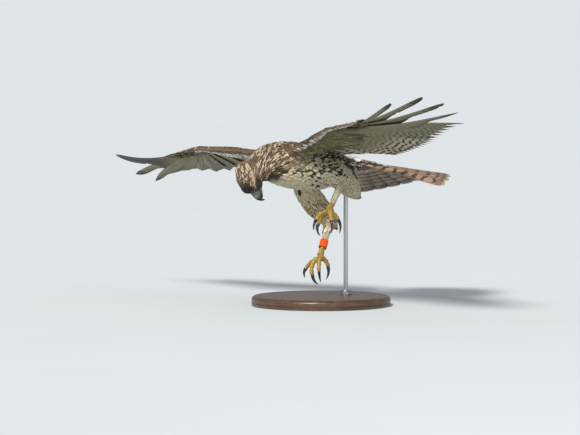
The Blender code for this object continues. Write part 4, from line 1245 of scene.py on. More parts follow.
def chart(P, N, info):
    """The unwrap of the skin: one patch of the square for each part."""
    label = info["label"]
    uv = np.zeros((len(P), 2))
    body = np.isin(label, (TRUNK_, NECK_, HEAD_))
    uv[body, 0] = 0.25 + 0.235 * info["angle"][body] / math.pi
    uv[body, 1] = 0.01 + 0.58 * info["s"][body]
    for lab, u0, v0 in ((THIGH_L, .02, .62), (THIGH_R, .26, .62), (SHANK_L, .02, .82),
                        (SHANK_R, .14, .82)):
        k = label == lab
        wide = 0.10 if lab in (THIGH_L, THIGH_R) else 0.05
        uv[k, 0] = u0 + wide * (1 + info["turn"][k] / math.pi)
        uv[k, 1] = v0 + 0.17 * np.clip(info["along"][k], 0, 1)
    for lab, side, u0 in ((FOOT_L, "left", .27), (FOOT_R, "right", .39)):
        k = label == lab
        q = (P[k] - at(*FEET[side])) / 0.12
        uv[k, 0] = u0 + 0.05 + q[:, 0] * 0.10
        uv[k, 1] = 0.82 + 0.04 + q[:, 1] * 0.07 + np.where(N[k, 2] > 0, 0.0, 0.09)
    for lab, side, v0 in ((WING_L, "left", 0.01), (WING_R, "right", 0.50)):
        k = np.nonzero(label == lab)[0]
        pts, gx, gw = wing_grid[side]
        tree = KDTree(len(pts))
        for i, q in enumerate(pts):
            tree.insert(q, i)
        tree.balance()
        hit = np.array([tree.find(P[i])[1] for i in k], int)
        if len(hit):
            uv[k, 0] = 0.51 + 0.48 * gx[hit] / 24
            uv[k, 1] = v0 + 0.10 + 2.2 * gw[hit] + np.where(N[k, 2] > 0, 0.0, 0.245)
    return uv


# ------------------------------------------------------------------ plumage
BREAST, BELLY, LEG = (.570, .520, .345), (.560, .505, .360), (.600, .535, .385)
MANTLE, NAPE, CREAM = (.098, .062, .040), (.122, .070, .038), (.76, .63, .47)
DARK, THROAT, UPPER_TAIL, UNDER_TAIL = (.012, .009, .007), (.16, .125, .085), (.86, .84, .80), (.34, .30, .20)
BARE = (.430, .275, .044)


def blend(a, b, t):
    return np.asarray(a) * (1 - t[:, None]) + np.asarray(b) * t[:, None]


def ramp(x, lo, hi):
    return ease((x - lo) / (hi - lo))


def plumage(P, info, r):
    """Base colour, marking colour and pattern for feathers rooted at P.
    The pattern holds blotch strength, bars, pale fringe and blotch width."""
    n = len(P)
    chance, chance2 = r.uniform(0, 1, n), r.uniform(0, 1, n)
    f, u = -P[:, 0], P[:, 2]
    phi = np.degrees(np.abs(info["angle"]))
    label = info["label"]
    q = (P - HEAD_AT) / MM
    a, b, c = q @ HEAD_ALONG, q @ HEAD_UP, np.abs(q @ HEAD_LEFT)
    belly = blend(BELLY, BREAST, ramp(f, -0.05, 0.0))
    belly = blend(belly, UNDER_TAIL, ramp(f, -0.115, -0.150))
    pattern = np.zeros((n, 4))
    mark = np.tile(np.array(DARK), (n, 1))
    back = ramp(phi + 6 * (chance - 0.5), 66, 50)
    base = blend(belly, MANTLE, back)
    pattern[:, 2] = 0.75 * back
    # light bars low on the belly
    pattern[:, 1] = 0.22 * ramp(f, -0.03, -0.07) * (1 - back)
    # blotches along the flank, in rows that rise towards the tail
    row = np.sin((u * 0.80 + f * 0.62) / 0.0125 * 2 * math.pi + 1.2)
    flank = ramp(phi, 50, 62) * ramp(phi, 126, 112) * ramp(f, -0.140, -0.115) * ramp(f, 0.022, 0.006)
    low_row = ramp(phi, 128, 136) * ramp(phi, 160, 150) * ramp(f, -0.105, -0.080) * ramp(f, -0.020, -0.045)
    blot = (chance2 < 0.95 * flank * (0.58 + 0.42 * row)) | (chance2 < 0.36 * low_row)
    pattern[blot, 0] = 1.0
    pattern[blot, 3] = 0.46 + 0.36 * chance[blot]
    thin = (~blot) & (flank > 0.3) & (back < 0.5)
    pattern[thin, 0], pattern[thin, 3] = 0.8 * chance[thin], 0.10
    # under the wing the flank is painted darker between the blotches: painted shade of the wing
    wing_shade_on_flank = ramp(phi, 84, 66) * ramp(phi, 46, 56) * ramp(f, 0.030, 0.0) * ramp(f, -0.110, -0.085)
    base = blend(base, (.185, .150, .095), 0.75 * wing_shade_on_flank * (chance < 0.8))
    # dark patch between thigh and tail, white and barred coverts above it
    above = phi - 18 * ramp(-f, 0.136, 0.170)
    patch = ramp(f, -0.106, -0.116) * ramp(f, -0.186, -0.176) * ramp(above, 68, 76) * ramp(phi, 170, 156)
    hit = chance < 0.96 * patch
    base[hit] = blend(base[hit], (.26, .185, .115), np.full(hit.sum(), 0.8))
    pattern[hit, 0], pattern[hit, 3] = 0.98, 0.50 + 0.45 * chance2[hit]
    rump = ramp(f, -0.120, -0.134) * ramp(above, 79, 72)
    base = blend(base, UPPER_TAIL, rump)
    pattern[:, 2] *= 1 - rump
    pattern[:, 0] *= 1 - rump
    pattern[:, 1] = np.maximum(pattern[:, 1], 0.80 * rump * (chance > 0.78))
    # streaked neck, nape and head
    front = np.isin(label, (NECK_, HEAD_))
    streaky = np.clip(ramp(f, -0.030, 0.022) * ramp(phi + 8 * (chance2 - .5), 118, 92), 0, 1)
    streaky[front] = np.maximum(streaky[front], ramp(phi[front], 168, 128))
    streaky[label == HEAD_] = 1.0
    pale = chance < (0.05 + 0.31 * ramp(f, -0.004, 0.030)) * np.where(label == HEAD_, 0.72, 1.0)
    brown = np.tile(np.array(NAPE), (n, 1)) * (0.42 + 0.90 * chance2)[:, None]
    tone = np.where(pale[:, None], np.array(CREAM) * (0.70 + 0.35 * chance2)[:, None], brown)
    base = base * (1 - streaky[:, None]) + tone * streaky[:, None]
    pattern[:, 0] *= 1 - streaky
    pattern[:, 1] *= 1 - streaky
    pattern[:, 2] = lerp(pattern[:, 2], np.where(pale, 0.10, np.where(chance2 < 0.62, 0.95, 0.30)), streaky)
    shaft_mark = (streaky > 0.5) & pale & (chance2 < 0.8)
    pattern[shaft_mark, 0], pattern[shaft_mark, 3] = 0.80, 0.14
    mark[shaft_mark] = (.060, .036, .022)
    h = label == HEAD_
    # throat and chin
    throat = h * ramp(-b, 6, 15) * ramp(a, -22, -8)
    tone = np.array(THROAT) * (0.65 + 0.6 * chance)[:, None]
    base = blend(base, tone, throat)
    # a dark crescent from the gape down the front of the neck
    g0, g1 = np.array((0.049, -0.058)), np.array((0.035, -0.037))
    fu = np.stack([f, u], 1) - g0
    share = np.clip(fu @ (g1 - g0) / np.dot(g1 - g0, g1 - g0), 0, 1)
    off = np.linalg.norm(fu - share[:, None] * (g1 - g0), axis=1)
    dark_throat = (label <= HEAD_) * ramp(off, 0.0105, 0.0055) * ramp(phi, 84, 100) * (0.70 + 0.30 * (share < 0.7))
    smudge = chance2 < 0.95 * dark_throat
    base[smudge] = np.array((.042, .032, .023)) * (0.6 + 0.8 * chance[smudge])[:, None]
    pattern[smudge, 2] = 0.25
    # pale brow stripe and cheek, dark forehead, crown and line behind the eye
    stripe = h * np.exp(-((b - 11.4 - 0.045 * a) / 2.5) ** 2) * ramp(c, 7, 10) * ramp(a, -18, -4) * ramp(a, 28, 24)
    base = blend(base, np.array((.62, .50, .39)) * (0.8 + 0.4 * chance)[:, None], stripe * 0.88)
    cheek = h * np.exp(-((b + 3.5) / 5.5) ** 2) * ramp(c, 13, 17) * ramp(a, 11, 4) * ramp(a, -24, -10)
    base = blend(base, np.array((.30, .225, .165)) * (0.5 + 0.8 * chance)[:, None], cheek * 0.75)
    crown = h * ramp(b, 8.5, 12.5) * ramp(c, 15, 11) * ramp(a, -8, 8)
    dark = crown * (0.45 + 0.55 * (chance2 < 0.50 + 0.48 * ramp(a, 4, 16)))
    base = blend(base, (.026, .019, .018), dark)
    pattern[:, 2] *= 1 - 0.80 * crown * ramp(a, 0, 14)
    pattern[:, 0] *= 1 - crown
    eye_line = h * np.exp(-((b - 2.5) / 3.0) ** 2) * ramp(a, 14, 9) * ramp(a, -4, 2) * ramp(c, 12, 16)
    base = blend(base, (.070, .048, .036), eye_line * 0.85)
    lore = h * ramp(a, 19, 23) * ramp(b, 10, 7)
    base = blend(base, (.17, .165, .125), lore * 0.85)
    # round the eye the feathers are darkened: partly the dark lids, partly painted shade under the brow
    dark_lids_and_brow_shade = h * ramp(np.hypot((a - EYE_ALONG - 1.5) * 0.8, b - EYE_CROWN), 11.5, 8.0) * ramp(c, 10, 12)
    base = blend(base, (.030, .026, .024), dark_lids_and_brow_shade * (chance < 0.93) * 0.93)
    pattern[:, 2] *= 1 - 0.8 * dark_lids_and_brow_shade
    pattern[:, 0] *= 1 - dark_lids_and_brow_shade
    # legs
    for lab, lab2 in ((THIGH_L, SHANK_L), (THIGH_R, SHANK_R)):
        k = label == lab
        base[k] = np.array(LEG) * (0.93 + 0.12 * chance[k])[:, None]
        pattern[k] = 0
        pattern[k, 1] = 0.80 if lab == THIGH_L else 0.04
        mark[k] = (.120, .098, .060)
        if lab == THIGH_R:
            dots = k & (chance2 < 0.62 * ramp(info["along"], 0.24, 0.46) + 0.04)
            pattern[dots, 0], pattern[dots, 3] = 0.90, 0.36
            mark[dots] = (.05, .036, .022)
            base[k] *= np.array((1.0, 0.93, 0.80))
        k = label == lab2
        base[k] = np.array((.68, .62, .46)) * (0.9 + 0.15 * chance[k])[:, None]
        pattern[k] = 0
    over = np.isin(label, (THIGH_L, THIGH_R)) * ramp(u - 0.16 * (f + 0.06), -0.036, -0.028) * ramp(f, -0.104, -0.088)
    base = blend(base, belly, over)
    pattern[:, 1] *= 1 - over
    spot = (chance2 < 0.88 * over * (0.56 + 0.44 * row)) & (label == THIGH_L)
    pattern[spot, 0], pattern[spot, 3] = 1.0, 0.50 + 0.40 * chance[spot]
    mark[spot] = DARK
    behind = (label == THIGH_L) * ramp(u - 0.095 - f, -0.002, 0.003) * ramp(u, -0.036, -0.028)
    hit = chance < 0.97 * behind
    base[hit] = np.array((.25, .18, .11)) * (0.6 + 0.8 * chance2[hit])[:, None]
    pattern[hit] = np.stack([np.full(hit.sum(), 0.97), np.zeros(hit.sum()), np.full(hit.sum(), 0.3),
                             0.42 + 0.45 * chance2[hit]], 1)
    mark[hit] = DARK
    return base * (0.95 + 0.10 * r.uniform(0, 1, (n, 1))), mark, pattern


sv = coords(skin.data)
sn = normals(skin.data)
skin_info = describe(sv)
bvh = BVHTree.FromObject(skin, bpy.context.evaluated_depsgraph_get())

# ------------------------------------------------------------------ the coat
def coat_material(name="coat_feather"):
    g = Graph(name)
    along, across, upper, chance = g.split("vane")
    strength, bars, fringe, width = g.split("pattern")
    base, mark = g.attr("base").outputs["Color"], g.attr("mark").outputs["Color"]
    v = g.math("ABSOLUTE", g.math("SUBTRACT", g.math("MULTIPLY", across, 2.0), 1.0))
    soft = g.noise(260.0, 2.0, 0.6)
    fine = g.noise(1400.0, 2.0, 0.6)
    drop = g.math("MULTIPLY", g.math("ADD", 0.06, width), g.math("ADD", 0.75, g.math(
        "MULTIPLY", soft, 0.5)))
    body = g.math("DIVIDE", v, drop)
    spot = g.math("MULTIPLY", g.step(body, 1.20, 0.80), g.math(
        "MULTIPLY", g.step(along, 0.30, 0.48), g.step(along, 0.985, 0.93)))
    wave = g.math("SINE", g.math("ADD", g.math("MULTIPLY", along, 21.0),
                                 g.math("ADD", g.math("MULTIPLY", chance, 6.0),
                                        g.math("MULTIPLY", v, -1.4))))
    bar = g.math("MULTIPLY", g.step(wave, 0.35, 0.8), g.step(along, 0.15, 0.4))
    colour = g.mix(g.math("MULTIPLY", bar, bars), base, mark)
    colour = g.mix(g.math("MULTIPLY", spot, strength), colour, mark)
    rim = g.math("MAXIMUM", g.step(v, 0.66, 0.92), g.step(along, 0.90, 0.97))
    colour = g.mix(g.math("MULTIPLY", rim, fringe), colour, (0.56, 0.42, 0.28))
    stem = g.math("MULTIPLY", g.step(v, 0.10, 0.03), 0.22)
    colour = g.mix(stem, colour, g.mix(0.5, base, (0.30, 0.24, 0.17)))
    light = g.math("ADD", 0.70, g.math("ADD", g.math("MULTIPLY", fine, 0.34),
                                      g.math("MULTIPLY", g.noise(520.0, 2.0, 0.6), 0.26)))
    rgb = g.node("ShaderNodeCombineColor")
    for s in rgb.inputs:
        g.plug(s, light)
    colour = g.mix(1.0, colour, rgb.outputs[0], "MULTIPLY")
    barb = g.math("SINE", g.math("MULTIPLY", g.math("ADD", along, g.math("MULTIPLY", v, -0.25)), 120.0))
    height = g.math("ADD", g.math("MULTIPLY", barb, 0.35), fine)
    return g.finish(colour, g.math("ADD", 0.62, g.math("MULTIPLY", fine, 0.20)),
                    g.bump(height, 0.30, 0.0003), Specular_IOR_Level=0.16,
                    Sheen_Weight=0.03, Sheen_Roughness=0.5)


COATING = coat_material()
made = {}


def patch_uv(roots, info_v, shape):
    """A patch 0.003 across at each root's place on the unwrap."""
    k = info_v[:, 3].astype(int)
    return roots[k] + 0.0030 * np.stack([info_v[:, 1] * 0.5, info_v[:, 0] - 0.5], 1)


def coat_piece(name, C, N, wide, v, thick, camber, roots_uv, base, mark, pattern, roll, r,
               phase=1.0):
    """Feathers along the centre lines C with upper sides N."""
    T, N2, S = frames_of(C, N)
    N2, S = tilt(N2, S, roll[:, None] * np.ones((1, C.shape[1])))
    uneven = 1 + 0.10 * r.uniform(-1, 1, (2,) + wide.shape)
    V, q, t, info_v = vane_mesh(C, N2, S, wide * uneven[0], wide * uneven[1], v, thick,
                                camber=camber, rachis=0.0)
    obj = new_mesh(name, V, q, t)
    k = info_v[:, 3].astype(int)
    put_colour(obj, "vane", np.stack([info_v[:, 0], info_v[:, 1] * 0.5 + 0.5, info_v[:, 2],
                                      phase * r.uniform(0, 1, len(C))[k]], 1))
    put_colour(obj, "base", base[k])
    put_colour(obj, "mark", mark[k])
    put_colour(obj, "pattern", pattern[k])
    put_uv(obj, patch_uv(roots_uv, info_v, None))
    obj.data.materials.append(COATING)
    ride(obj, None)
    made[name] = len(q) * 2 + len(t)
    return obj


faces = np.zeros(len(skin.data.polygons) * 3, np.int32)
tri_mesh = skin.data
if any(len(p.vertices) != 3 for p in tri_mesh.polygons[:50]):
    print("skin is not all triangles")
tri_mesh.calc_loop_triangles()
faces = np.zeros(len(tri_mesh.loop_triangles) * 3, np.int32)
tri_mesh.loop_triangles.foreach_get("vertices", faces)
faces = faces.reshape(-1, 3)
fa, fb, fc = (sv[faces[:, k]] for k in range(3))
face_area = 0.5 * np.linalg.norm(np.cross(fb - fa, fc - fa), axis=1)
face_mid = (fa + fb + fc) / 3
face_label = skin_info["label"][faces[:, 0]]


def scatter(allowed, spacing, seed):
    """Evenly spread roots on the allowed faces; spacing is per face."""
    r = np.random.default_rng(seed)
    ids = np.nonzero(allowed)[0]
    need = face_area[ids] / (spacing[ids] ** 2)
    count = int(need.sum() * 7)
    pick = r.choice(ids, count, p=need / need.sum())
    x, y = r.uniform(0, 1, count), r.uniform(0, 1, count)
    over = x + y > 1
    x[over], y[over] = 1 - x[over], 1 - y[over]
    P = fa[pick] + (fb - fa)[pick] * x[:, None] + (fc - fa)[pick] * y[:, None]
    gap = spacing[pick]
    cell = float(gap.max())
    keys = np.floor(P / cell).astype(int)
    grid, keep = {}, []
    rows = P.tolist()
    for i, (kx, ky, kz) in enumerate(keys.tolist()):
        px, py, pz = rows[i]
        g2 = gap[i] ** 2
        ok = True
        for dx in (-1, 0, 1):
            for dy in (-1, 0, 1):
                for dz in (-1, 0, 1):
                    for qx, qy, qz in grid.get((kx + dx, ky + dy, kz + dz), ()):
                        if (px - qx) ** 2 + (py - qy) ** 2 + (pz - qz) ** 2 < g2:
                            ok = False
                            break
                    if not ok:
                        break
                if not ok:
                    break
            if not ok:
                break
        if ok:
            grid.setdefault((kx, ky, kz), []).append((px, py, pz))
            keep.append(i)
    return P[keep]


def march(P, flow, length, height, stations, seed, stray=0.09, first=0.0):
    """Centre lines that follow the skin from the roots P along the flow."""
    r = np.random.default_rng(seed)
    n = len(P)
    C = np.zeros((n, stations, 3))
    N = np.zeros((n, stations, 3))
    turn = r.normal(0, stray, n)
    lines = []
    step = length / (stations - 1)
    for i in range(n):
        p = Vector(P[i])
        hit, nor, _, _ = bvh.find_nearest(p)
        d = Vector(flow[i])
        d = (d - nor * d.dot(nor)).normalized()
        d = d * math.cos(turn[i]) + nor.cross(d) * math.sin(turn[i])
        for k in range(stations):
            C[i, k] = p
            N[i, k] = nor
            if k == stations - 1:
                break
            target = p + d * step[i]
            hit, new_nor, _, _ = bvh.find_nearest(target)
            if (hit - target).length > 0.55 * step[i] or new_nor.dot(nor) < 0.25:
                p = target
            else:
                p, nor = hit, (nor * 0.4 + new_nor * 0.6).normalized()
                d2 = d - nor * d.dot(nor)
                if d2.length > 0.2:
                    d = d2.normalized()
    t = np.linspace(0, 1, stations)
    rise = (first + (1 - first) * t ** 0.85)[None] * height[:, None]
    return C + N * rise[..., None], N


def small_shape(t, tip=2.2, root=0.45):
    """Half width of a body feather along its length, as a share."""
    start = root + (1 - root) * ease(t / 0.45)
    k = np.clip((t - 0.55) / 0.45, 0, 1)
    return np.maximum(start * np.sqrt(np.maximum(1 - k ** tip, 0.0)), 0.06)


mid_info = describe(face_mid)
near_skin = mid_info["label"]
ff, uu = -face_mid[:, 0], face_mid[:, 2]
q_head = (face_mid - HEAD_AT) / MM
ha, hb, hc = q_head @ HEAD_ALONG, q_head @ HEAD_UP, q_head @ HEAD_LEFT
open_eye = np.zeros(len(face_mid), bool)
for side in ("left", "right"):
    centre, out, long_way, short_way = eye_frame(side)
    d = face_mid - centre
    x, y, z = d @ long_way, d @ short_way, d @ out
    open_eye |= ((x / 0.0074) ** 2 + (y / 0.0066) ** 2 < 1.0) & (z > 0)


def spare_the_eyes(C, N):
    """Feathers that would lie over an eye end at its lids, or are left out."""
    n, stations = C.shape[:2]
    keep = np.ones(n, bool)
    share = np.ones(n)
    for side in ("left", "right"):
        centre, out, long_way, short_way = eye_frame(side)
        d = C - centre
        over = ((d @ long_way / 0.0068) ** 2 + (d @ short_way / 0.0061) ** 2 < 1.0) & (d @ out > 0)
        hit = over.any(1)
        first = over.argmax(1)
        share[hit] = np.minimum(share[hit], (first[hit] - 0.6) / (stations - 1))
    keep = share > 0.16
    x = np.linspace(0, 1, stations)[None] * share[:, None] * (stations - 1)
    k = np.clip(x.astype(int), 0, stations - 2)
    f = (x - k)[..., None]
    i = np.arange(n)[:, None]
    C = C[i, k] * (1 - f) + C[i, k + 1] * f
    N = N[i, k] * (1 - f) + N[i, k + 1] * f
    return C[keep], N[keep], keep


def body_coat(name, allowed, spacing, length, width, height, stations, cols, seed,
              thick, camber, stray=0.09, tip=2.2, root=0.45, phase=0.2):
    P = scatter(allowed, spacing, seed)
    info = describe(P)
    r = np.random.default_rng(seed + 5)
    a = ((P - HEAD_AT) / MM) @ HEAD_ALONG
    L, W, H = (fn(P, info, a) for fn in (length, width, height))
    L = L * r.uniform(0.88, 1.12, len(P))
    H = H * r.uniform(0.85, 1.12, len(P))
    C, N = march(P, info["flow"], L, H, stations, seed + 9, stray)
    t = np.linspace(0, 1, stations)
    C, N, keep = spare_the_eyes(C, N)
    P, W = P[keep], W[keep]
    info = {k: x[keep] for k, x in info.items()}
    wide = (W * r.uniform(0.9, 1.1, len(P)))[:, None] * 0.5 * small_shape(t, tip, root)[None]
    base, mark, pattern = plumage(P, info, r)
    nor = N[:, 0]
    uv = chart(P, nor, info)
    v = np.linspace(-1, 1, cols)
    order = np.argsort(-info["s"])
    return coat_piece(name, C, N, wide, v, thick, camber, uv, base, mark, pattern,
                      r.normal(0, 0.07, len(P)), r, phase)


one = np.ones(len(face_mid))
# trunk: breast, belly, flanks and back
head_or_neck = np.isin(near_skin, (HEAD_, NECK_))
trunk_faces = (near_skin == TRUNK_) & (ff > -0.200)
wing_root = np.isin(near_skin, (WING_L, WING_R)) & (np.abs(face_mid[:, 1]) < 0.066) & (uu > -0.012)
def on_flank(f, angle):
    phi = np.degrees(np.abs(angle))
    return ramp(phi, 46, 56) * ramp(phi, 134, 124) * ramp(f, -0.135, -0.120) * ramp(f, 0.030, 0.016)


flank_face = on_flank(ff, mid_info["angle"])
body_coat("coat_trunk", trunk_faces | wing_root, 0.0053 - 0.0010 * flank_face,
          lambda P, i, a: np.where(-P[:, 0] < -0.125, 0.032, 0.0235 - 0.0035 * on_flank(-P[:, 0], i["angle"])),
          lambda P, i, a: 0.0118 - 0.0028 * on_flank(-P[:, 0], i["angle"]),
          lambda P, i, a: np.where(-P[:, 0] < -0.14, 0.0032, 0.0044),
          7, 5, SEED + 1, 0.00026, 0.22, stray=0.09, tip=1.9)
body_coat("coat_neck",
          ((near_skin == NECK_) | ((near_skin == TRUNK_) & (ff > -0.012) & (
              np.degrees(np.abs(mid_info["angle"])) < 105)) | ((near_skin == HEAD_) & (ha < -17))),
          one * 0.00245, lambda P, i, a: np.full(len(P), 0.0155),
          lambda P, i, a: np.full(len(P), 0.0035), lambda P, i, a: np.full(len(P), 0.0038),
          6, 5, SEED + 2, 0.00018, 0.30, stray=0.10, tip=1.4)
head_faces = (near_skin == HEAD_) & (ha < 26.3) & ~open_eye
body_coat("coat_head", head_faces,
          (0.00178 - 0.00070 * ease((ha - 2) / 20)),
          lambda P, i, a: 0.0096 - 0.0056 * ease((a - 2) / 20),
          lambda P, i, a: 0.0027 - 0.0012 * ease((a - 2) / 20),
          lambda P, i, a: 0.0020 - 0.0011 * ease((a - 2) / 20),
          6, 5, SEED + 3, 0.00012, 0.28, stray=0.12, tip=1.5)
for lab, lab2, side in ((THIGH_L, SHANK_L, "left"), (THIGH_R, SHANK_R, "right")):
    body_coat("coat_thigh_" + side, near_skin == lab, one * 0.0036,
              lambda P, i, a: 0.0190 - 0.008 * i["along"],
              lambda P, i, a: np.full(len(P), 0.0078), lambda P, i, a: np.full(len(P), 0.0034),
              7, 5, SEED + 4 + lab, 0.00020, 0.20, stray=0.11, tip=1.7)
    limit = 0.74 if side == "left" else 0.53
    body_coat("coat_shank_" + side,
              (near_skin == lab2) & (mid_info["along"] < limit), one * 0.0021,
              lambda P, i, a: np.full(len(P), 0.0085), lambda P, i, a: np.full(len(P), 0.0030),
              lambda P, i, a: np.full(len(P), 0.0019), 5, 3, SEED + 14 + lab, 0.00016, 0.2,
              stray=0.14, tip=1.6)

# ------------------------------------------------------------- wing coverts
UP_LESSER, UP_GREATER = (.108, .068, .042), (.105, .069, .044)
# under the wing: the dark olive and grey are partly the feathers' own colour, partly painted shade and ground
# reflection
LOW_SHADED_OLIVE, LOW_SHADED_GREY, LOW_PALE = (.200, .186, .082), (.150, .138, .068), (.80, .76, .68)


def row_places(wing, w_of_x, spacing, x0, x1, shift):
    x = np.linspace(x0, x1, 400)
    p = wing.point(x, w_of_x(x))
    s = np.concatenate([[0], np.cumsum(np.linalg.norm(np.diff(p, axis=0), axis=1))])
    n = max(2, int(s[-1] / spacing))
    return np.interp((np.arange(n) + 0.5 * shift + 0.25) / n * s[-1], s, x)


def covert_rows(side, upper):
    """Rows of (x, w, length, width, lift, row kind) for one face of a wing."""
    wing, out = WINGS[side], []
    r = np.random.default_rng(SEED + (11 if upper else 12) + (100 if side == "left" else 0))
    edge = wing.edge_at

    def row(w_of_x, length, width, spacing, kind, x0=0.0, x1=24.0, lift=0.0006, shift=0):
        xs = row_places(wing, w_of_x, spacing, x0, x1, shift)
        for x in xs:
            L = length(x) if callable(length) else length
            W = width(x) if callable(width) else width
            out.append((min(24, max(0, x + r.normal(0, 0.05))), float(w_of_x(x)) + r.normal(0, .0006),
                        L * r.uniform(.92, 1.08), W * r.uniform(.92, 1.06), lift, kind))

    if upper:
        row(lambda x: 0.020 + 0 * x, lambda x: 0.050 + 0.022 * float(ease((x - 9) / 4)), 0.0165,
            0.0100, 3, 0, 24, 0.0002)
        row(lambda x: 0.012 + 0 * x, lambda x: 0.036 + 0.010 * float(ease((x - 9) / 4)), 0.0150,
            0.0085, 2, 0, 24, 0.0004, 1)
        row(lambda x: 0.004 + 0 * x, lambda x: 0.026 + 0.008 * float(ease((x - 9) / 4)), 0.0130,
            0.0075, 2, 0, 24, 0.0006)
        row(lambda x: 0.036 + 0 * x, 0.040, 0.0160, 0.0100, 2, 20.5, 24, 0.0008)
        for i, q in enumerate((0.10, 0.28, 0.46, 0.64, 0.80, 0.94)):
            row(lambda x, q=q: -q * edge(x), 0.0180 - 0.0012 * i, 0.0098 - 0.0006 * i,
                0.0062 - 0.0003 * i, 1 if i < 5 else 0, 0, 24, 0.0007, i % 2)
    else:
        row(lambda x: 0.018 + 0 * x, lambda x: 0.044 + 0.020 * float(ease((x - 9) / 4)), 0.0155,
            0.0095, 3, 0, 24, 0.0002)
        row(lambda x: 0.011 + 0 * x, lambda x: 0.034 + 0.014 * float(ease((x - 9) / 4)), 0.0140,
            0.0080, 2, 0, 24, 0.0004, 1)
        row(lambda x: 0.003 + 0 * x, lambda x: 0.026 + 0.010 * float(ease((x - 9) / 4)), 0.0125,
            0.0070, 2, 0, 24, 0.0006)
        row(lambda x: 0.034 + 0 * x, 0.042, 0.0150, 0.0095, 2, 18.5, 24, 0.0008)
        for i, q in enumerate((0.08, 0.24, 0.40, 0.56, 0.72, 0.86, 0.97)):
            row(lambda x, q=q: -q * edge(x), 0.0160 - 0.0011 * i if i < 5 else 0.0092,
                0.0082 - 0.0006 * i, 0.0052 - 0.0003 * i, 1 if i < 5 else 0, 0, 24, 0.0006, i % 2)
    return np.array(out)


def covert_piece(name, side, upper):
    wing = WINGS[side]
    rows = covert_rows(side, upper)
    r = np.random.default_rng(SEED + 71 + len(name))
    n = len(rows)
    x, w, L, W, lift, kind = rows.T
    stations = 7
    t = np.linspace(0, 1, stations)
    ww = w[:, None] + L[:, None] * t
    # the feathers run straight back from their roots, with no shift towards the tip
    xx = np.clip(x[:, None] + 0.0 * t, 0, 24)
    P = wing.point(xx, ww)
    up, down = wing.thick(xx, ww)
    e = 0.0006
    dx = wing.point(np.clip(xx + 0.05, 0, 24), ww) - wing.point(np.clip(xx - 0.05, 0, 24), ww)
    dw = wing.point(xx, ww + e) - wing.point(xx, ww - e)
    n_up = unit(np.cross(dx, dw))
    n_up *= np.sign(n_up[..., 2:3] + 1e-9)
    sink = np.where(t < 0.5, -0.0014 * (1 - t / 0.5), 0.0)[None] + lift[:, None] * t
    front = kind[:, None] < 0.5
    if upper:
        h = up + sink
        N = n_up
    else:
        h = -(down + sink)
        N = -n_up
    C = P + np.array((0, 0, 1.0)) * h[..., None]
    yaw = r.normal(0, 0.05, n)[:, None] * L[:, None] * t
    C = C + unit(dx) * yaw[..., None]
    C, N = wing.local(C), wing.local(N)
    chance, chance2 = r.uniform(0, 1, n), r.uniform(0, 1, n)
    base, mark = np.zeros((n, 3)), np.tile(np.array((.045, .032, .024)), (n, 1))
    pattern = np.zeros((n, 4))
    if upper:
        base[:] = np.where(kind[:, None] > 1.5, UP_GREATER, UP_LESSER)
        base *= (0.72 + 0.60 * chance)[:, None]
        pattern[:, 2] = np.where(kind > 2.5, 0.45, 0.70) * (0.5 + 0.7 * chance2)
        pattern[:, 1] = np.where(kind > 1.5, 0.45, 0.0)
        pattern[:, 0], pattern[:, 3] = 0.5 * (chance2 > 0.4), 0.16
        pale = (kind < 1.5) & (chance2 < 0.10)
        base[pale] = np.array((.30, .225, .150))
        fore = (kind < 0.5)
        base[fore] = np.where((chance2[fore] < 0.25)[:, None], (.34, .27, .20), base[fore])
    else:
        base[:] = np.where(kind[:, None] > 2.5, LOW_SHADED_GREY, LOW_SHADED_OLIVE)
        base *= ((0.50 + 0.90 * chance) * (0.74 + 0.26 * ease((x - 12.0) / 8.0)))[:, None]
        pattern[:, 0] = np.where(chance2 < 0.62, 0.85, 0.0)
        pattern[:, 3] = np.where(kind < 2.5, 0.36, 0.24)
        pattern[:, 2] = np.where(kind < 2.5, 0.05, 0.10)
        pattern[:, 1] = np.where(kind < 2.5, 0.55, 0.45)
        mark[:] = (.034, .032, .012)
        # dark axillar feathers near the body and the pale front strip
        near_body = (x > 20.5) & (chance2 < 0.30 * ease((x - 20.0) / 3))
        pattern[near_body, 0], pattern[near_body, 3] = 0.9, 0.40
        mark[near_body] = DARK
        share = -w / wing.edge_at(x)
        if side == "left":
            fore = kind < 0.5
            white = fore & (chance2 < 0.60)
        else:
            fore = (kind < 0.5) | ((kind < 1.5) & (share > 0.30) & (x > 5))
            white = fore & (share < 0.80) & (chance2 < 0.86)
        base[fore] = np.array((.20, .15, .10)) * (0.8 + 0.5 * chance[fore])[:, None]
        base[white] = np.array(LOW_PALE) * (0.85 + 0.25 * chance[white])[:, None]
        pattern[fore] = 0
        pattern[fore, 0], pattern[fore, 3] = np.where(chance[fore] < 0.45, 0.75, 0.0), 0.26
        comma = (x < 9.5) & (x > 4.0) & (kind > 1.5) & (chance2 < 0.45)
        pattern[comma, 0], pattern[comma, 3] = 0.85, 0.50
    wide = W[:, None] * 0.5 * small_shape(t, 2.6, 0.5)[None]
    lab = np.where(np.full(n, side == "left"), WING_L, WING_R)
    root_n = N[:, 0]
    uv = np.zeros((n, 2))
    uv[:, 0] = 0.51 + 0.48 * x / 24
    uv[:, 1] = (0.01 if side == "left" else 0.50) + 0.10 + 2.2 * w + (0.0 if upper else 0.245)
    # rise of rows: feathers of the front rows lie over those behind them
    order = np.argsort(-w)
    pick = order
    return coat_piece(name, C[pick], N[pick], wide[pick],
                      np.linspace(-1, 1, 7), 0.00024, 0.16, uv[pick], base[pick], mark[pick],
                      pattern[pick], r.normal(0, 0.05, n), r)


for side in ("left", "right"):
    covert_piece("coverts_upper_" + side, side, True)
    covert_piece("coverts_lower_" + side, side, False)

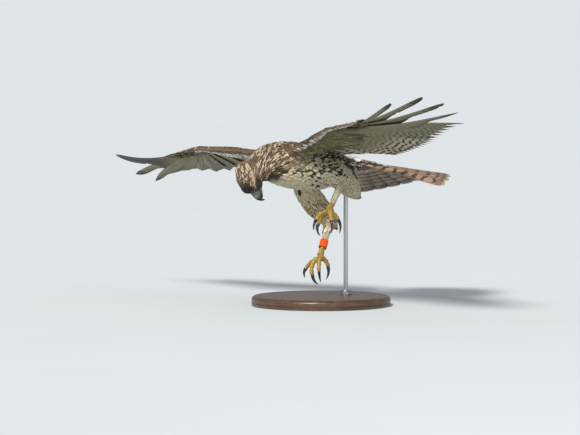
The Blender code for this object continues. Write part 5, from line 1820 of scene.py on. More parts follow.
# small feathers wrap round the front of the wing, brown above and mottled
# with white below
wing_tree = {}
for side, lab in (("left", WING_L), ("right", WING_R)):
    wing = WINGS[side]
    pts, gx, gw = wing_grid[side]
    tree = KDTree(len(pts))
    for i, q in enumerate(pts):
        tree.insert(q, i)
    tree.balance()
    wing_tree[side] = tree
    ids = np.nonzero(near_skin == lab)[0]
    hit = np.array([tree.find(face_mid[i])[1] for i in ids], int)
    front = np.zeros(len(face_mid), bool)
    front[ids] = gw[hit] < -0.84 * wing.edge_at(gx[hit])
    P = scatter(front, one * 0.0029, SEED + 83 + lab)
    r = np.random.default_rng(SEED + 84 + lab)
    hit = np.array([tree.find(p)[1] for p in P], int)
    x, w = gx[hit], gw[hit]
    flow = unit(wing.local(wing.point(x, w + 0.004)) - wing.local(wing.point(x, w)))
    C, N = march(P, flow, r.uniform(0.0085, 0.0115, len(P)), np.full(len(P), 0.0014), 6,
                 SEED + 85, 0.10)
    off = np.array([[bvh.find_nearest(q)[3] for q in line] for line in C]).max(1)
    keep = (off < 0.0027) & (np.sum(N[:, 0] * N[:, -1], 1) > 0.0) & (x > 5.6)
    P, C, N, x, w = P[keep], C[keep], N[keep], x[keep], w[keep]
    below = N[:, 0, 2] < -0.12
    chance, chance2 = r.uniform(0, 1, len(P)), r.uniform(0, 1, len(P))
    base = np.array(UP_LESSER) * (0.75 + 0.75 * chance)[:, None]
    light = below & (chance2 < (0.50 if side == "left" else 0.08))
    base[light] = np.array(LOW_PALE) * (0.70 + 0.30 * chance[light])[:, None]
    mark = np.tile(np.array((.045, .032, .024)), (len(P), 1))
    pattern = np.zeros((len(P), 4))
    pattern[:, 2] = np.where(light, 0.0, 0.75 * chance)
    pattern[:, 0], pattern[:, 3] = np.where(chance < 0.5, 0.8, 0.0), 0.30
    uv = np.stack([0.51 + 0.48 * x / 24,
                   (0.01 if side == "left" else 0.50) + 0.10 + 2.2 * w + 0.245 * (N[:, 0, 2] < 0)], 1)
    t = np.linspace(0, 1, 6)
    coat_piece("coat_wing_edge_" + side, C, N,
               0.5 * r.uniform(0.0044, 0.0054, len(P))[:, None] * small_shape(t, 2.0, 0.5)[None],
               np.linspace(-1, 1, 5), 0.00018, 0.2, uv, base, mark, pattern,
               r.normal(0, 0.07, len(P)), r)

# the alula: three stiff feathers along the front of the hand
for side in ("left", "right"):
    wing = WINGS[side]
    t = np.linspace(0, 1, 16)
    C, WL, WR = [], [], []
    for i, (x0, x1, off, width) in enumerate(((8.9, 4.6, 0.0015, .0062), (9.0, 5.8, -0.0030, .0068),
                                              (9.1, 7.0, -0.0075, .0070))):
        xs = x0 + (x1 - x0) * t
        w = -wing.edge_at(xs) - off + 0.004 * t
        p = wing.point(xs, np.maximum(w, -wing.edge_at(xs)))
        p = p + np.array((1.0, 0.25, 0.0)) * (off * 0.8)
        up, _ = wing.thick(xs, np.maximum(w, -wing.edge_at(xs)))
        C.append(p + np.array((0, 0, 1.0)) * (up * 0.3 + 0.0008 + 0.0006 * i)[:, None])
        WL.append(np.full(16, width * 0.45) * small_shape(t, 2.2, 0.6))
        WR.append(np.full(16, width) * small_shape(t, 2.2, 0.6))
    C = np.array(C)
    T, N, S = frames_of(C, np.broadcast_to((0, 0, 1.0), C.shape))
    S = S * np.sign(np.sum(S * np.array((1.0, 0.2, 0)), -1, keepdims=True))
    V, q, tr, info_v = vane_mesh(C, N, S, np.array(WL), np.array(WR),
                                 np.linspace(-1, 1, 9), 0.0003, camber=0.15,
                                 flip=wing.mirror > 0)
    obj = new_mesh("alula_" + side, wing.local(V), q, tr)
    k = info_v[:, 3].astype(int)
    put_colour(obj, "vane", np.stack([info_v[:, 0], info_v[:, 1] * .5 + .5, info_v[:, 2],
                                      0.3 + 0.2 * k], 1))
    put_colour(obj, "base", np.tile(np.array((.215, .165, .120)), (len(k), 1)))
    put_colour(obj, "mark", np.tile(np.array((.11, .085, .065)), (len(k), 1)))
    put_colour(obj, "pattern", np.tile(np.array((.3, .5, .35, .2)), (len(k), 1)))
    strips_uv(obj, info_v, 3)
    obj.data.materials.append(COATING)
    ride(obj, None)

# ---------------------------------------------------- coverts of the tail
r = np.random.default_rng(SEED + 501)
rows = []
for upper in (True, False):
    plan = ((0.000, .050, .0150, 9), (0.012, .056, .0165, 10), (0.026, .060, .0175, 11)) if upper \
        else ((-0.006, .050, .0150, 9), (0.008, .058, .0165, 10), (0.022, .064, .0175, 11))
    for j, (start, length, width, count) in enumerate(plan):
        for i in range(count):
            spread = (i + 0.5 * (j % 2) + 0.25) / (count - 0.25) * 2 - 1
            rows.append((spread * 0.88 * TAIL_SPREAD, start / TAIL_LENGTH,
                         length * (1 - 0.18 * abs(spread)) * r.uniform(.92, 1.06) / TAIL_LENGTH,
                         width, 1.0 if upper else 0.0, j))
rows = np.array(rows)
t = np.linspace(0, 1, 9)
C, N, base, pattern, mark, uv = [], [], [], [], [], []
for angle, start, length, width, upper, j in rows:
    tt = start + length * t
    p = tail_point(angle, np.maximum(tt, 0.0))
    p[:, 0] -= np.minimum(tt, 0.0) * TAIL_LENGTH
    across = angle / (TAIL_SPREAD + 4.3)
    dome = math.sqrt(max(0.04, 1.0 - across * across * 0.97))
    fade = np.clip(1.0 - np.maximum(tt, 0) / 0.40, 0, 1)
    grow = np.interp(t, (0, 0.35, 1), (-0.0022, 0.0, 0.0010)) - 0.0005 * j
    if upper:
        p[:, 2] += 0.0009 + 0.0112 * dome * fade ** 1.4 + grow
    else:
        p[:, 2] -= 0.0009 + 0.0146 * dome * fade ** 1.2 + grow
    C.append(p)
    N.append(np.tile(np.array((0, 0, 1.0 if upper else -1.0)), (len(t), 1)))
    c = r.uniform(0, 1)
    base.append(np.array(UPPER_TAIL if upper else (.56, .51, .385)) * (0.9 + 0.16 * c))
    # the first coverts below, out to the side, carry on the dark patch
    dark_side = not upper and abs(across) > 0.12 and start < 0.08
    if dark_side:
        base[-1] = np.array((.24, .17, .105)) * (0.7 + 0.8 * c)
    pattern.append((0.0, 0.85 * (j == 1), 0.0, 0.2) if upper
                   else (0.95, 0.0, 0.3, 0.45 + 0.3 * c) if dark_side else (0.0, 0.30, 0.10, 0.1))
    mark.append((.035, .026, .020) if upper else DARK if dark_side else (.20, .17, .12))
    uv.append((0.25 + 0.235 * (across * 0.40 if upper else 1.0 - 0.40 * abs(across)),
               0.01 + 0.58 * (0.90 + 0.09 * min(1.0, start * 3 + 0.2))))
C, N = loc(np.array(C)), np.array(N)
wide = rows[:, 3][:, None] * 0.5 * small_shape(t, 2.4, 0.55)[None]
coat_piece("coverts_tail", C, N, wide, np.linspace(-1, 1, 9), 0.00026, 0.14,
           np.array(uv), np.array(base), np.array(mark), np.array(pattern),
           r.normal(0, 0.05, len(C)), r)
print("coat", made, sum(made.values()))

# ------------------------------------------------------------ the skin's look
base, mark, pattern = plumage(sv, skin_info, np.random.default_rng(SEED + 2))
label = skin_info["label"]
up_side = sn[:, 2] > 0
wing_v = np.isin(label, (WING_L, WING_R))
base[wing_v & up_side] = UP_LESSER
# the wing skin's underside takes the underwing olive, partly painted shade and ground reflection
base[wing_v & ~up_side] = LOW_SHADED_OLIVE
for lab in (WING_L, WING_R):
    k = np.nonzero(label == lab)[0]
    side = "left" if lab == WING_L else "right"
    pts, gx, gw = wing_grid[side]
    hit = np.array([wing_tree[side].find(q)[1] for q in sv[k]], int)
    base[k[gw[hit] < -0.66 * WINGS[side].edge_at(gx[hit])]] = (.150, .108, .072)
bare = np.isin(label, (FOOT_L, FOOT_R)) \
    | ((label == SHANK_L) & (skin_info["along"] > 0.72)) \
    | ((label == SHANK_R) & (skin_info["along"] > 0.50))
q = (sv - HEAD_AT) / MM
a, b, c = q @ HEAD_ALONG, q @ HEAD_UP, np.abs(q @ HEAD_LEFT)
is_head = label == HEAD_
mouth = is_head & (a > 12) & (b < -5.6) & (b > -10.0) & (c > 7)
base[bare] = BARE
base[mouth] = (.40, .38, .20)
base[is_head & (a > 25.6)] = (.34, .35, .22)
for side in ("left", "right"):
    centre, out, long_way, short_way = eye_frame(side)
    d = sv - centre
    rr = np.sqrt((d @ long_way / 0.0080) ** 2 + (d @ short_way / 0.0072) ** 2)
    lid = is_head & (rr < 1.0) & (d @ out > 0.002)
    base[lid] = (.050, .044, .034)
kind = np.stack([bare.astype(float), mouth.astype(float), np.zeros(len(sv)), np.ones(len(sv))], 1)
nor = sn.copy()
uv = chart(sv, nor, skin_info)
skin.data.transform(POSE)
skin.data.shade_smooth()
put_colour(skin, "base", base)
put_colour(skin, "kind", kind)
while skin.data.uv_layers:
    skin.data.uv_layers.remove(skin.data.uv_layers[0])
layer = skin.data.uv_layers.new(name="OFBake")
vi = np.zeros(len(skin.data.loops), np.int32)
skin.data.loops.foreach_get("vertex_index", vi)
tri_uv = uv[vi].reshape(-1, 3, 2) if len(vi) == 3 * len(skin.data.polygons) else None
if tri_uv is not None:
    # a face that would span two patches of the unwrap keeps to its first corner
    span = np.ptp(tri_uv, axis=1).max(1)
    tri_uv[span > 0.035] = tri_uv[span > 0.035][:, :1]
    layer.data.foreach_set("uv", tri_uv.reshape(-1).astype(np.float32))
g = Graph("hawk_skin")
bare_n, mouth_n, _, _ = g.split("kind")
scale = g.node("ShaderNodeTexVoronoi", feature="DISTANCE_TO_EDGE")
scale.inputs["Scale"].default_value = 620.0
g.nt.links.new(g.place(), scale.inputs["Vector"])
groove = g.step(scale.outputs["Distance"], 0.02, 0.14)
n1 = g.noise(420.0, 3.0)
n2 = g.noise(60.0, 2.0)
feathered = g.mix(n1, g.attr("base").outputs["Color"], (.10, .075, .05))
feathered = g.mix(0.7, feathered, g.attr("base").outputs["Color"])
yellow = g.mix(n2, g.attr("base").outputs["Color"], (.40, .23, .034))
yellow = g.mix(g.math("MULTIPLY", g.math("SUBTRACT", 1.0, groove), 0.85), yellow, (.095, .046, .010))
colour = g.mix(bare_n, feathered, yellow)
rough = g.math("ADD", 0.38, g.math("MULTIPLY", g.math("SUBTRACT", 1.0, bare_n), 0.35))
height = g.math("ADD", g.math("MULTIPLY", groove, bare_n), g.math("MULTIPLY", n1, 0.3))
skin.data.materials.clear()
skin.data.materials.append(g.finish(colour, rough, g.bump(height, 0.6, 0.0004),
                                    Specular_IOR_Level=0.4))
ride(skin, ["hawk_trunk", "hawk_neck", "hawk_head", "hawk_wing_left", "hawk_wing_right",
            "hawk_tail", "hawk_thigh_left", "hawk_thigh_right", "hawk_tarsus_left",
            "hawk_tarsus_right", "hawk_foot_left", "hawk_foot_right"])

# ------------------------------------------------------------ small solids
def solid(name, shape, local=True, smooth=True):
    """A mesh from closed parts, faces turned outward, with no leftovers."""
    import bmesh
    obj = new_mesh(name, *shape, local=local, smooth=smooth)
    bm = bmesh.new()
    bm.from_mesh(obj.data)
    bmesh.ops.recalc_face_normals(bm, faces=bm.faces[:])
    bm.to_mesh(obj.data)
    bm.free()
    obj.data.update()
    return obj


def sharpen(obj, degrees=32.0):
    obj.data.shade_smooth()
    obj.data.set_sharp_from_angle(angle=math.radians(degrees))


# the eyes: a ball with a swelling cornea, its iris and pupil set by the angle
# from the way it looks
def eye_ball(side):
    centre, out, long_way, short_way = eye_frame(side)
    turns, bands = 72, 60
    theta = np.pi * np.linspace(0, 1, bands + 1)[1:-1]
    theta = theta - 0.16 * np.sin(2 * theta)
    swell = 1.0 + 0.045 * np.exp(-(theta / 0.42) ** 4)
    a = 2 * np.pi * np.arange(turns) / turns
    rings = []
    for th, sw in zip(theta[::-1], swell[::-1]):
        rings.append(centre + EYE_RADIUS * 0.985 * sw * (
            out * math.cos(th) + math.sin(th) * (np.outer(np.cos(a), long_way)
                                                + np.outer(np.sin(a), short_way))))
    v, q, t = closed_loft(rings, centre + out * EYE_RADIUS * 0.985 * 1.045)
    v[len(v) - 2] = centre - out * EYE_RADIUS * 0.985
    obj = solid("eye_" + side, (v, q, t))
    d = unit(v - centre)
    ang = np.arccos(np.clip(d @ out, -1, 1))
    turn = np.arctan2(d @ short_way, d @ long_way) / (2 * np.pi) + 0.5
    put_colour(obj, "gaze", np.stack([ang / np.pi, turn, 0.5 + 0.5 * (d @ long_way),
                                      0.5 + 0.5 * (d @ short_way)], 1))
    put_uv(obj, np.stack([0.5 + 0.49 * ang / np.pi * np.cos(2 * np.pi * turn),
                          0.5 + 0.49 * ang / np.pi * np.sin(2 * np.pi * turn)], 1))
    return obj


def eye_material():
    g = Graph("hawk_eye")
    angle, turn, lx, ly = g.split("gaze")
    fibre = g.noise(90.0, 3.0, 0.6)
    fleck = g.noise(900.0, 2.0, 0.5)
    deg = g.math("MULTIPLY", angle, 180.0)
    iris = g.mix(fibre, (.070, .034, .014), (.036, .018, .009))
    iris = g.mix(g.math("MULTIPLY", g.step(deg, 26.0, 31.0), 0.45), iris, (.095, .052, .022))
    iris = g.mix(g.math("MULTIPLY", fleck, 0.35), iris, (.030, .014, .006))
    colour = g.mix(g.step(deg, 25.5, 27.0), (.0020, .0018, .0018), iris)
    colour = g.mix(g.step(deg, 36.0, 40.0), colour, (.016, .011, .008))
    return g.finish(colour, 0.08, None, Specular_IOR_Level=0.3, Coat_Weight=0.35,
                    Coat_Roughness=0.02)


EYE_LOOK = eye_material()
for side in ("left", "right"):
    obj = eye_ball(side)
    obj.data.materials.append(EYE_LOOK)
    ride(obj, "hawk_eye_" + side)

# ------------------------------------------------------------------ the bill
UPPER_BILL = [
    (24.6, 11.3, 24.6, -5.8, 10.0), (26.8, 11.0, 26.8, -6.0, 9.6),
    (30.8, 10.1, 30.8, -6.3, 8.7), (34.8, 9.0, 34.9, -6.5, 7.3),
    (39.6, 6.8, 39.3, -6.6, 6.0), (44.2, 2.8, 42.6, -6.9, 4.8),
    (47.8, -2.4, 44.8, -8.0, 3.5), (50.0, -8.0, 46.8, -10.4, 2.3),
    (50.6, -12.2, 48.5, -12.9, 1.2), (50.3, -14.4, 49.3, -14.5, 0.55),
]
LOWER_BILL = [
    (24.8, -6.6, 24.8, -14.6, 8.0), (26.8, -6.9, 26.8, -14.2, 7.6),
    (33.0, -7.2, 33.0, -13.2, 6.3), (39.0, -7.4, 39.0, -11.8, 4.8), (43.0, -8.2, 43.0, -10.4, 3.0),
    (44.2, -8.8, 44.2, -9.6, 1.2),
]
NOSTRIL = (31.6, 4.3)


def bill_shape(rows, count, edge=0.0):
    """Rings of the bill; edge > 0 pinches the lower rim to a cutting edge."""
    a = 2 * np.pi * np.arange(count) / count
    rings = []
    for a0, b0, a1, b1, w in rows:
        top, low = head(a0, b0), head(a1, b1)
        middle, half = (top + low) / 2, np.linalg.norm(top - low) / 2
        up = unit(top - low)
        c, s = np.cos(a), np.sin(a)
        c2 = np.sign(c) * np.abs(c) ** (2 / 2.2)
        s2 = np.sign(s) * np.abs(s) ** (2 / 2.2)
        ridge = 1.0 - 0.10 * np.clip(s, 0, 1) ** 2 * np.abs(c)       # a narrower culmen
        under = 1.0 - edge * np.clip(-s - 0.55, 0, 1)
        rings.append(middle + np.outer(w * MM * c2 * ridge * under, HEAD_LEFT)
                     + np.outer(half * s2, up))
    return rings


def bill_piece(name, rows, count, tip, tooth=False, nostril=False):
    rings = bill_shape(rows, count, 0.25 if tooth else 0.0)
    v, q, t = closed_loft(rings, tip)
    x = (v - HEAD_AT) / MM
    a, b, c = x @ HEAD_ALONG, x @ HEAD_UP, x @ HEAD_LEFT
    pit = np.zeros(len(v))
    if nostril:
        d = np.sqrt(((a - NOSTRIL[0]) / 1.35) ** 2 + ((b - NOSTRIL[1] - 0.35 * (a - NOSTRIL[0])) / 2.0) ** 2)
        pit = (np.abs(c) > 3.0) * np.clip(1.15 - d, 0, 1) ** 0.8
        rim = (np.abs(c) > 3.0) * np.exp(-((d - 1.35) / 0.30) ** 2)
        v = v + np.outer(-np.sign(c) * (1.5 * pit - 0.22 * rim) * MM, HEAD_LEFT)
    if tooth:
        # the festoon of the cutting edge
        wave = 0.55 * np.exp(-((a - 40.0) / 2.0) ** 2) - 0.35 * np.exp(-((a - 36.0) / 1.8) ** 2)
        v = v + np.outer(-wave * ramp(-b, 3.6, 6.0) * MM, HEAD_UP)
    obj = solid(name, (v, q, t))
    put_colour(obj, "place", np.stack([a / 60.0, (b + 20) / 40.0, np.abs(c) / 15.0, pit], 1))
    return obj


rows = smooth_stations(UPPER_BILL, 6)
cere_rows = rows[rows[:, 0] <= 34.81]
horn_rows = rows[len(cere_rows) - 1:]
swell = cere_rows.copy()
# the cere stands a little proud of the horn and rounds off towards it
lip = np.clip((swell[:, 0] - 33.0) / 1.8, 0, 1)
swell[:, 1] -= 0.35 * lip ** 2
swell[:, 3] += 0.20 * lip ** 2
swell[:, 4] -= 0.35 * lip ** 2
obj = bill_piece("cere", swell, 72, head(34.9, 1.2), nostril=True)
g = Graph("hawk_cere")
pa, pb, pc, pit = g.split("place")
n = g.noise(500.0, 3.0, 0.6)
n2 = g.noise(110.0, 2.0)
colour = g.mix(n2, (.300, .300, .240), (.215, .215, .170))
colour = g.mix(g.math("MULTIPLY", n, 0.35), colour, (.22, .225, .16))
colour = g.mix(g.math("MULTIPLY", g.step(pa, 29.0 / 60, 25.6 / 60), 0.6), colour, (.12, .11, .08))
# the ridge is dusky down to the horn
colour = g.mix(g.math("MULTIPLY", g.step(pb, 26.0 / 40, 29.5 / 40), 0.75), colour, (.060, .056, .050))
colour = g.mix(g.step(pit, 0.05, 0.55), colour, (.010, .009, .008))
obj.data.materials.append(g.finish(colour, 0.42, g.bump(n, 0.35, 0.0003), Specular_IOR_Level=0.5))
ride(obj, "hawk_cere")

horn = horn_rows.copy()
start = horn[0].copy()
start[[0, 2]] -= 1.6
start[1] -= 0.5
start[4] -= 0.5
horn = np.concatenate([[start], horn])
horn[1, 1] -= 0.25
horn[1, 4] -= 0.25
upper_bill = bill_piece("bill_upper", horn, 64, head(49.9, -15.4), tooth=True)
lower_bill = bill_piece("bill_lower", smooth_stations(LOWER_BILL, 5), 48, head(44.7, -9.1))
g = Graph("hawk_bill")
pa, pb, pc, pit = g.split("place")
n = g.noise(240.0, 3.0, 0.55, stretch=(1.0, 1.0, 1.0))
grain = g.noise(1500.0, 2.0, 0.6)
reach = g.math("ADD", pa, g.math("ADD", g.math("MULTIPLY", g.math("SUBTRACT", n, 0.5), 0.05),
                                 g.math("MULTIPLY", pb, 0.02)))
colour = g.mix(g.step(reach, 35.5 / 60, 39.0 / 60), (.230, .235, .230), (.095, .100, .105))
colour = g.mix(g.step(reach, 38.5 / 60, 43.0 / 60), colour, (.014, .014, .016))
colour = g.mix(g.math("MULTIPLY", grain, 0.18), colour, (.05, .05, .05))
BILL_LOOK = g.finish(colour, g.math("ADD", 0.20, g.math("MULTIPLY", n, 0.12)),
                     g.bump(g.math("ADD", n, grain), 0.12, 0.0003), Specular_IOR_Level=0.55)
for obj, node in ((upper_bill, "hawk_bill_upper"), (lower_bill, "hawk_bill_lower")):
    obj.data.materials.append(BILL_LOOK)
    ride(obj, node)

# ------------------------------------------------------------------- claws
g = Graph("hawk_claw")
along, across, _, _ = g.split("place")
n = g.noise(300.0, 3.0, 0.55)
streak = g.noise(60.0, 2.0, 0.5)
colour = g.mix(g.step(along, 0.16, 0.0), (.011, .011, .012), (.050, .046, .040))
colour = g.mix(g.math("MULTIPLY", n, 0.4), colour, (.026, .025, .024))
CLAW_LOOK = g.finish(colour, g.math("ADD", 0.20, g.math("MULTIPLY", streak, 0.14)),
                     g.bump(n, 0.15, 0.0003), Specular_IOR_Level=0.55)


def claw_piece(side, toe):
    yaw, pitch0, pitch1, length, r, claw, curl = TOES[side][toe]
    line = toe_line(side, toe)
    along = unit(line[-1] - line[-2])
    steps = 30
    arc = bow(line[-1] + along * 0.0003, yaw, pitch1 - 14.0, pitch1 - 14.0 + curl, claw, steps)
    arc = np.concatenate([[line[-1] - along * 0.0022, line[-1] - along * 0.0010], arc])
    side_way = at(-math.sin(math.radians(yaw)), math.cos(math.radians(yaw)), 0)
    d = tangents(arc)
    a = 2 * np.pi * np.arange(24) / 24
    rings = []
    for i, (p, way) in enumerate(zip(arc[:-1], d)):
        t = max(0.0, (i - 2) / steps)
        rad = 0.0038 * (1 - t) ** 0.72 + 0.0003
        rad *= 0.80 + 0.20 * min(1.0, i / 4.0)
        up = unit(np.cross(way, side_way))
        x, y = np.cos(a), np.sin(a)
        # round above, a shallow groove below between two edges
        low = np.clip(-y * np.sign(up[2] + 1e-9), 0, 1)
        groove = 1.0 - 0.20 * low ** 6 * (0.3 + 0.7 * min(1.0, t * 4))
        rings.append(p + np.outer(rad * 0.80 * x, side_way) + np.outer(rad * y * groove, up))
    v, q, t = closed_loft(rings, arc[-1])
    obj = solid("claw_%s_%s" % (toe, side), (v, q, t))
    share = np.concatenate([np.repeat(np.linspace(0, 1, len(rings)), 24), [0, 1]])
    put_colour(obj, "place", np.stack([share, np.concatenate([np.tile(a / 6.3, len(rings)), [0, 0]]),
                                       share, share], 1))
    obj.data.materials.append(CLAW_LOOK)
    ride(obj, "hawk_claw_%s_%s" % (toe, side))


for side in ("left", "right"):
    for toe in ("hallux", "inner", "middle", "outer"):
        claw_piece(side, toe)

# ------------------------------------------------------ scales of the feet
def plates(lines, name, slot):
    """Thin domed plates.  Each line is (centre, along, side, up, length,
    radius, half angle) and the plate wraps over the limb's front."""
    V, Q, T, U = [], [], [], []
    n = 0
    cols, rows_ = 9, 5
    for centre, along, side_way, up, length, radius, half in lines:
        th = np.linspace(-half, half, cols)
        ty = np.linspace(-0.5, 0.5, rows_)
        edge = np.abs(th) / half
        top = np.zeros((rows_, cols, 3))
        low = np.zeros((rows_, cols, 3))
        for j, y in enumerate(ty):
            dome = 0.00042 * (1 - edge ** 4) * (0.35 + 0.65 * ease((y + 0.5) / 0.55)) \
                * (1.0 if j < rows_ - 1 else 0.25)
            short = 1.0 - 0.16 * edge ** 3
            pos = centre + along * length * y * short[:, None]
            rad = np.sin(th)[:, None] * side_way + np.cos(th)[:, None] * up
            top[j] = pos + rad * (radius + 0.00006 + dome)[:, None]
            low[j] = pos + rad * (radius - 0.00060)
        v = np.concatenate([top.reshape(-1, 3), low.reshape(-1, 3)])
        i, k = np.meshgrid(np.arange(rows_ - 1), np.arange(cols - 1), indexing="ij")
        quad = np.stack([i * cols + k, (i + 1) * cols + k, (i + 1) * cols + k + 1,
                         i * cols + k + 1], -1).reshape(-1, 4)
        size = rows_ * cols
        rim = ([(r_, 0) for r_ in range(rows_)] + [(rows_ - 1, c_) for c_ in range(1, cols)]
               + [(r_, cols - 1) for r_ in range(rows_ - 2, -1, -1)]
               + [(0, c_) for c_ in range(cols - 2, 0, -1)])
        ids = np.array([r_ * cols + c_ for r_, c_ in rim])
        nxt = np.roll(ids, -1)
        walls = np.stack([ids, nxt, nxt + size, ids + size], 1)
        Q.append(np.concatenate([quad, quad[:, ::-1] + size, walls]) + n)
        V.append(v)
        U.append(np.tile(np.repeat(ty + 0.5, cols), 2))
        n += len(v)
    obj = solid(name, (np.concatenate(V), np.concatenate(Q), None))
    put_colour(obj, "place", np.stack([np.concatenate(U)] * 4, 1))
    sharpen(obj, 60.0)
    return obj


g = Graph("hawk_scale")
along, _, _, _ = g.split("place")
n = g.noise(700.0, 3.0, 0.6)
n2 = g.noise(80.0, 2.0)
colour = g.mix(n2, (.510, .350, .072), (.370, .240, .042))
colour = g.mix(g.math("MULTIPLY", g.step(along, 0.48, 0.08), 0.92), colour, (.085, .046, .012))
colour = g.mix(g.math("MULTIPLY", n, 0.22), colour, (.66, .48, .16))
SCALE_LOOK = g.finish(colour, 0.36, g.bump(n, 0.25, 0.0002), Specular_IOR_Level=0.5)

for side in ("left", "right"):
    lines = []
    for toe, spec in TOES[side].items():
        line = toe_line(side, toe, 60)
        rad = toe_radii(spec[4], 60)
        d = tangents(line)
        yaw = math.radians(spec[0])
        side_way = at(-math.sin(yaw), math.cos(yaw), 0)
        count = int(spec[3] / 0.0023)
        for i in range(count):
            t = 0.20 + 0.79 * (i + 0.5) / count
            k = int(round(t * 60))
            # keep the dorsal side on toes that point straight down
            dorsal = np.cross(side_way, d[k])
            dorsal = unit(dorsal)
            if np.dot(dorsal, unit(np.cross(side_way, d[3]))) < 0:
                dorsal = -dorsal
            if np.cross(side_way, d[3])[2] < 0:
                dorsal = -dorsal
            lines.append((line[k], d[k], side_way, dorsal, 0.0025, rad[k] - 0.0001, math.radians(62)))
    obj = plates(lines, "scutes_toes_" + side, "yellow_scale")
    obj.data.materials.append(SCALE_LOOK)
    ride(obj, None)
    a, b = at(*ANKLES[side]), at(*FEET[side])
    d = unit(b - a)
    front = unit(at(1, 0, 0) - d * np.dot(at(1, 0, 0), d))
    across = np.cross(front, d)
    lines = []
    first = 0.74 if side == "left" else 0.52
    length = np.linalg.norm(b - a)
    t = first
    while t < 0.985:
        under_band = side == "right" and abs(t - BAND_AT) < (0.5 * BAND_HEIGHT + 0.0016) / length
        if not under_band:
            r0 = float(shank_radii(side, np.array([t]), 0.0018)[0])
            lines.append((a + (b - a) * t, d, across, front, 0.0031, r0 - 0.0001, math.radians(64)))
            lines.append((a + (b - a) * t, d, across, -front, 0.0031, r0 - 0.0001, math.radians(50)))
        t += 0.0029 / length
    obj = plates(lines, "scutes_tarsus_" + side, "yellow_scale")
    obj.data.materials.append(SCALE_LOOK)
    ride(obj, None)


def pebbles(name, allowed, spacing, seed):
    """Small domed scales between the plates and on the soles."""
    P = scatter(allowed, spacing, seed)
    r = np.random.default_rng(seed + 3)
    V, T, Q = [], [], []
    a = 2 * np.pi * np.arange(7) / 7
    n = 0
    for p in P:
        hit, nor, _, dist = bvh.find_nearest(Vector(p))
        nor = np.array(nor)
        x = unit(np.cross(nor, (0.3, 0.5, 0.8)))
        y = np.cross(nor, x)
        size = 0.00062 * r.uniform(0.85, 1.15)
        turn = r.uniform(0, 1)
        ring = np.outer(np.cos(a + turn), x) + np.outer(np.sin(a + turn), y)
        low = p + ring * size * 1.15 - nor * 0.00025
        mid = p + ring * size + nor * 0.00014
        top = p + nor * 0.00034
        V.append(np.concatenate([low, mid, [top], [p - nor * 0.00035]]))
        i = np.arange(7)
        j = (i + 1) % 7
        Q.append(np.stack([i, j, j + 7, i + 7], 1) + n)
        T.append(np.concatenate([np.stack([i + 7, j + 7, np.full(7, 14)], 1),
                                 np.stack([j, i, np.full(7, 15)], 1)]) + n)
        n += 16
    obj = solid(name, (np.concatenate(V), np.concatenate(Q), np.concatenate(T)))
    put_colour(obj, "place", np.tile(np.concatenate([np.full(7, 0.0), np.full(7, 0.30), [0.9, 0.0]])[:, None],
                                     (n // 16, 4)))
    obj.data.materials.append(SCALE_LOOK)
    ride(obj, None)
    return len(P)


for side, lab, lab2, first in (("left", FOOT_L, SHANK_L, 0.75), ("right", FOOT_R, SHANK_R, 0.53)):
    ok = (near_skin == lab) | ((near_skin == lab2) & (mid_info["along"] > first))
    count = pebbles("pebble_scales_" + side, ok, one * 0.00150, SEED + 61 + lab)
    print("pebbles", side, count)

# ---------------------------------------------------------- the band it wears
a, b = at(*ANKLES["right"]), at(*FEET["right"])
axis = unit(b - a)
centre = a + (b - a) * BAND_AT
x = unit(np.cross(axis, (0.2, 0.3, 0.9)))
y = np.cross(axis, x)
half, r0, r1, bevel = 0.5 * BAND_HEIGHT, BAND_INNER, BAND_OUTER, 0.0006
profile = []
for cx, cz, start in ((r1 - bevel, half - bevel, 0), (r0 + bevel * .7, half - bevel * .7, 90),
                      (r0 + bevel * .7, -half + bevel * .7, 180), (r1 - bevel, -half + bevel, 270)):
    size = bevel if start in (0, 270) else bevel * .7
    for k in range(5):
        q = math.radians(start + 90 * k / 4)
        profile.append((cx + size * math.cos(q), cz + size * math.sin(q)))
profile = np.array(profile)
gap = math.radians(2.2)
rings = []
for s in np.linspace(gap / 2, 2 * math.pi - gap / 2, 97):
    d = x * math.cos(s) + y * math.sin(s)
    rings.append(centre + np.outer(profile[:, 0], d) + np.outer(profile[:, 1], axis))
obj = solid("leg_band", closed_loft(rings))
sharpen(obj, 40.0)
g = Graph("leg_band")
n = g.noise(90.0, 3.0, 0.6)
scuff = g.noise(900.0, 3.0, 0.7)
colour = g.mix(n, (.930, .096, .003), (.800, .070, .002))
colour = g.mix(g.math("MULTIPLY", g.step(scuff, 0.58, 0.72), 0.30), colour, (.88, .24, .07))
obj.data.materials.append(g.finish(colour, g.math("ADD", 0.34, g.math("MULTIPLY", scuff, 0.18)),
                                   g.bump(scuff, 0.12, 0.0002), Specular_IOR_Level=0.3))
ride(obj, "hawk_leg_band")

# ------------------------------------------------------------------ the stand
def turned(name, profile, x, y, count):
    a = 2 * np.pi * np.arange(count) / count
    rings = [np.stack([x + r * np.cos(a), y + r * np.sin(a), np.full(count, z)], 1)
             for r, z in profile]
    obj = solid(name, closed_loft(rings), local=False)
    sharpen(obj, 34.0)
    return obj


def arc(cx, cz, r, start, end, steps=8):
    return [(cx + r * math.cos(math.radians(q)), cz + r * math.sin(math.radians(q)))
            for q in np.linspace(start, end, steps + 1)]


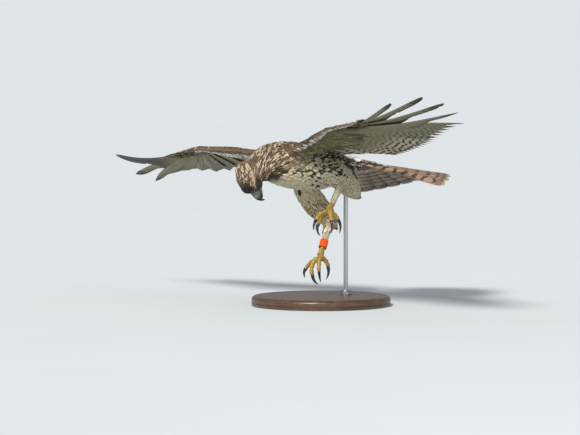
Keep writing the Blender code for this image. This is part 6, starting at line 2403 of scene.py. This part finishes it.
rod_top = POSE @ Vector(tuple(at(-0.1540, 0.0, -0.0200)))
base_profile = ([(0.1375, 0.0), (0.1395, 0.0006), (0.1400, 0.0018), (0.1400, 0.0052)]
                + [(0.1388, 0.0056), (0.1388, 0.0068), (0.1400, 0.0076), (0.1400, 0.0120)]
                + arc(0.1325, 0.0125, 0.0075, 0, 90, 12) + [(0.1255, 0.0200), (0.1252, 0.0196),
                                                            (0.1246, 0.0196), (0.1243, 0.0200)])
base = turned("stand_base_turned", base_profile, 0.0, 0.0, 144)
g = Graph("stand_wood")
where = g.place()
warp = g.noise(6.0, 3.0, 0.5, stretch=(1.0, 6.0, 1.0))
m = g.node("ShaderNodeMapping")
m.inputs["Scale"].default_value = (2.0, 26.0, 26.0)
g.nt.links.new(where, m.inputs["Vector"])
grain = g.noise(3.2, 5.0, 0.62, vector=m.outputs[0])
ringy = g.math("SINE", g.math("ADD", g.math("MULTIPLY", grain, 34.0), g.math("MULTIPLY", warp, 9.0)))
pores = g.noise(60.0, 2.0, 0.6, stretch=(0.6, 14.0, 14.0))
colour = g.mix(g.step(ringy, -0.9, 0.9), (.070, .034, .018), (.115, .060, .031))
colour = g.mix(g.math("MULTIPLY", g.step(pores, 0.52, 0.70), 0.55), colour, (.030, .015, .009))
base.data.materials.append(g.finish(colour, g.math("ADD", 0.30, g.math("MULTIPLY", pores, 0.22)),
                                    g.bump(pores, 0.10, 0.0003), Specular_IOR_Level=0.5,
                                    Coat_Weight=0.25, Coat_Roughness=0.25))
ride(base, "stand_base")
rod = turned("stand_rod_turned", [(0.0041, 0.008), (0.0045, 0.0084), (0.0045, rod_top.z - 0.0006),
                                  (0.0039, rod_top.z)], rod_top.x, rod_top.y, 48)
collar = turned("stand_collar_turned", [(0.0112, 0.0201), (0.0120, 0.0207), (0.0120, 0.0262)]
                + [(0.0114, 0.0266), (0.0114, 0.0271)] + arc(0.0105, 0.0285, 0.0013, 0, 90, 6)
                + [(0.0060, 0.0299), (0.0050, 0.0300)], rod_top.x, rod_top.y, 72)
g = Graph("stand_steel")
n = g.noise(40.0, 2.0, 0.6, stretch=(12.0, 12.0, 1.0))
fine = g.noise(1200.0, 2.0, 0.6)
colour = g.mix(n, (.46, .46, .47), (.56, .56, .57))
steel = g.finish(colour, g.math("ADD", 0.26, g.math("MULTIPLY", fine, 0.12)),
                 g.bump(n, 0.05, 0.0002), Metallic=1.0)
rod.data.materials.append(steel)
collar.data.materials.append(steel)
ride(rod, "stand_rod")
ride(collar, "stand_collar")

size = {"cad": [list(map(float, p)) for p in cad_box],
        "visual": [list(map(float, p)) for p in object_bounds()]}
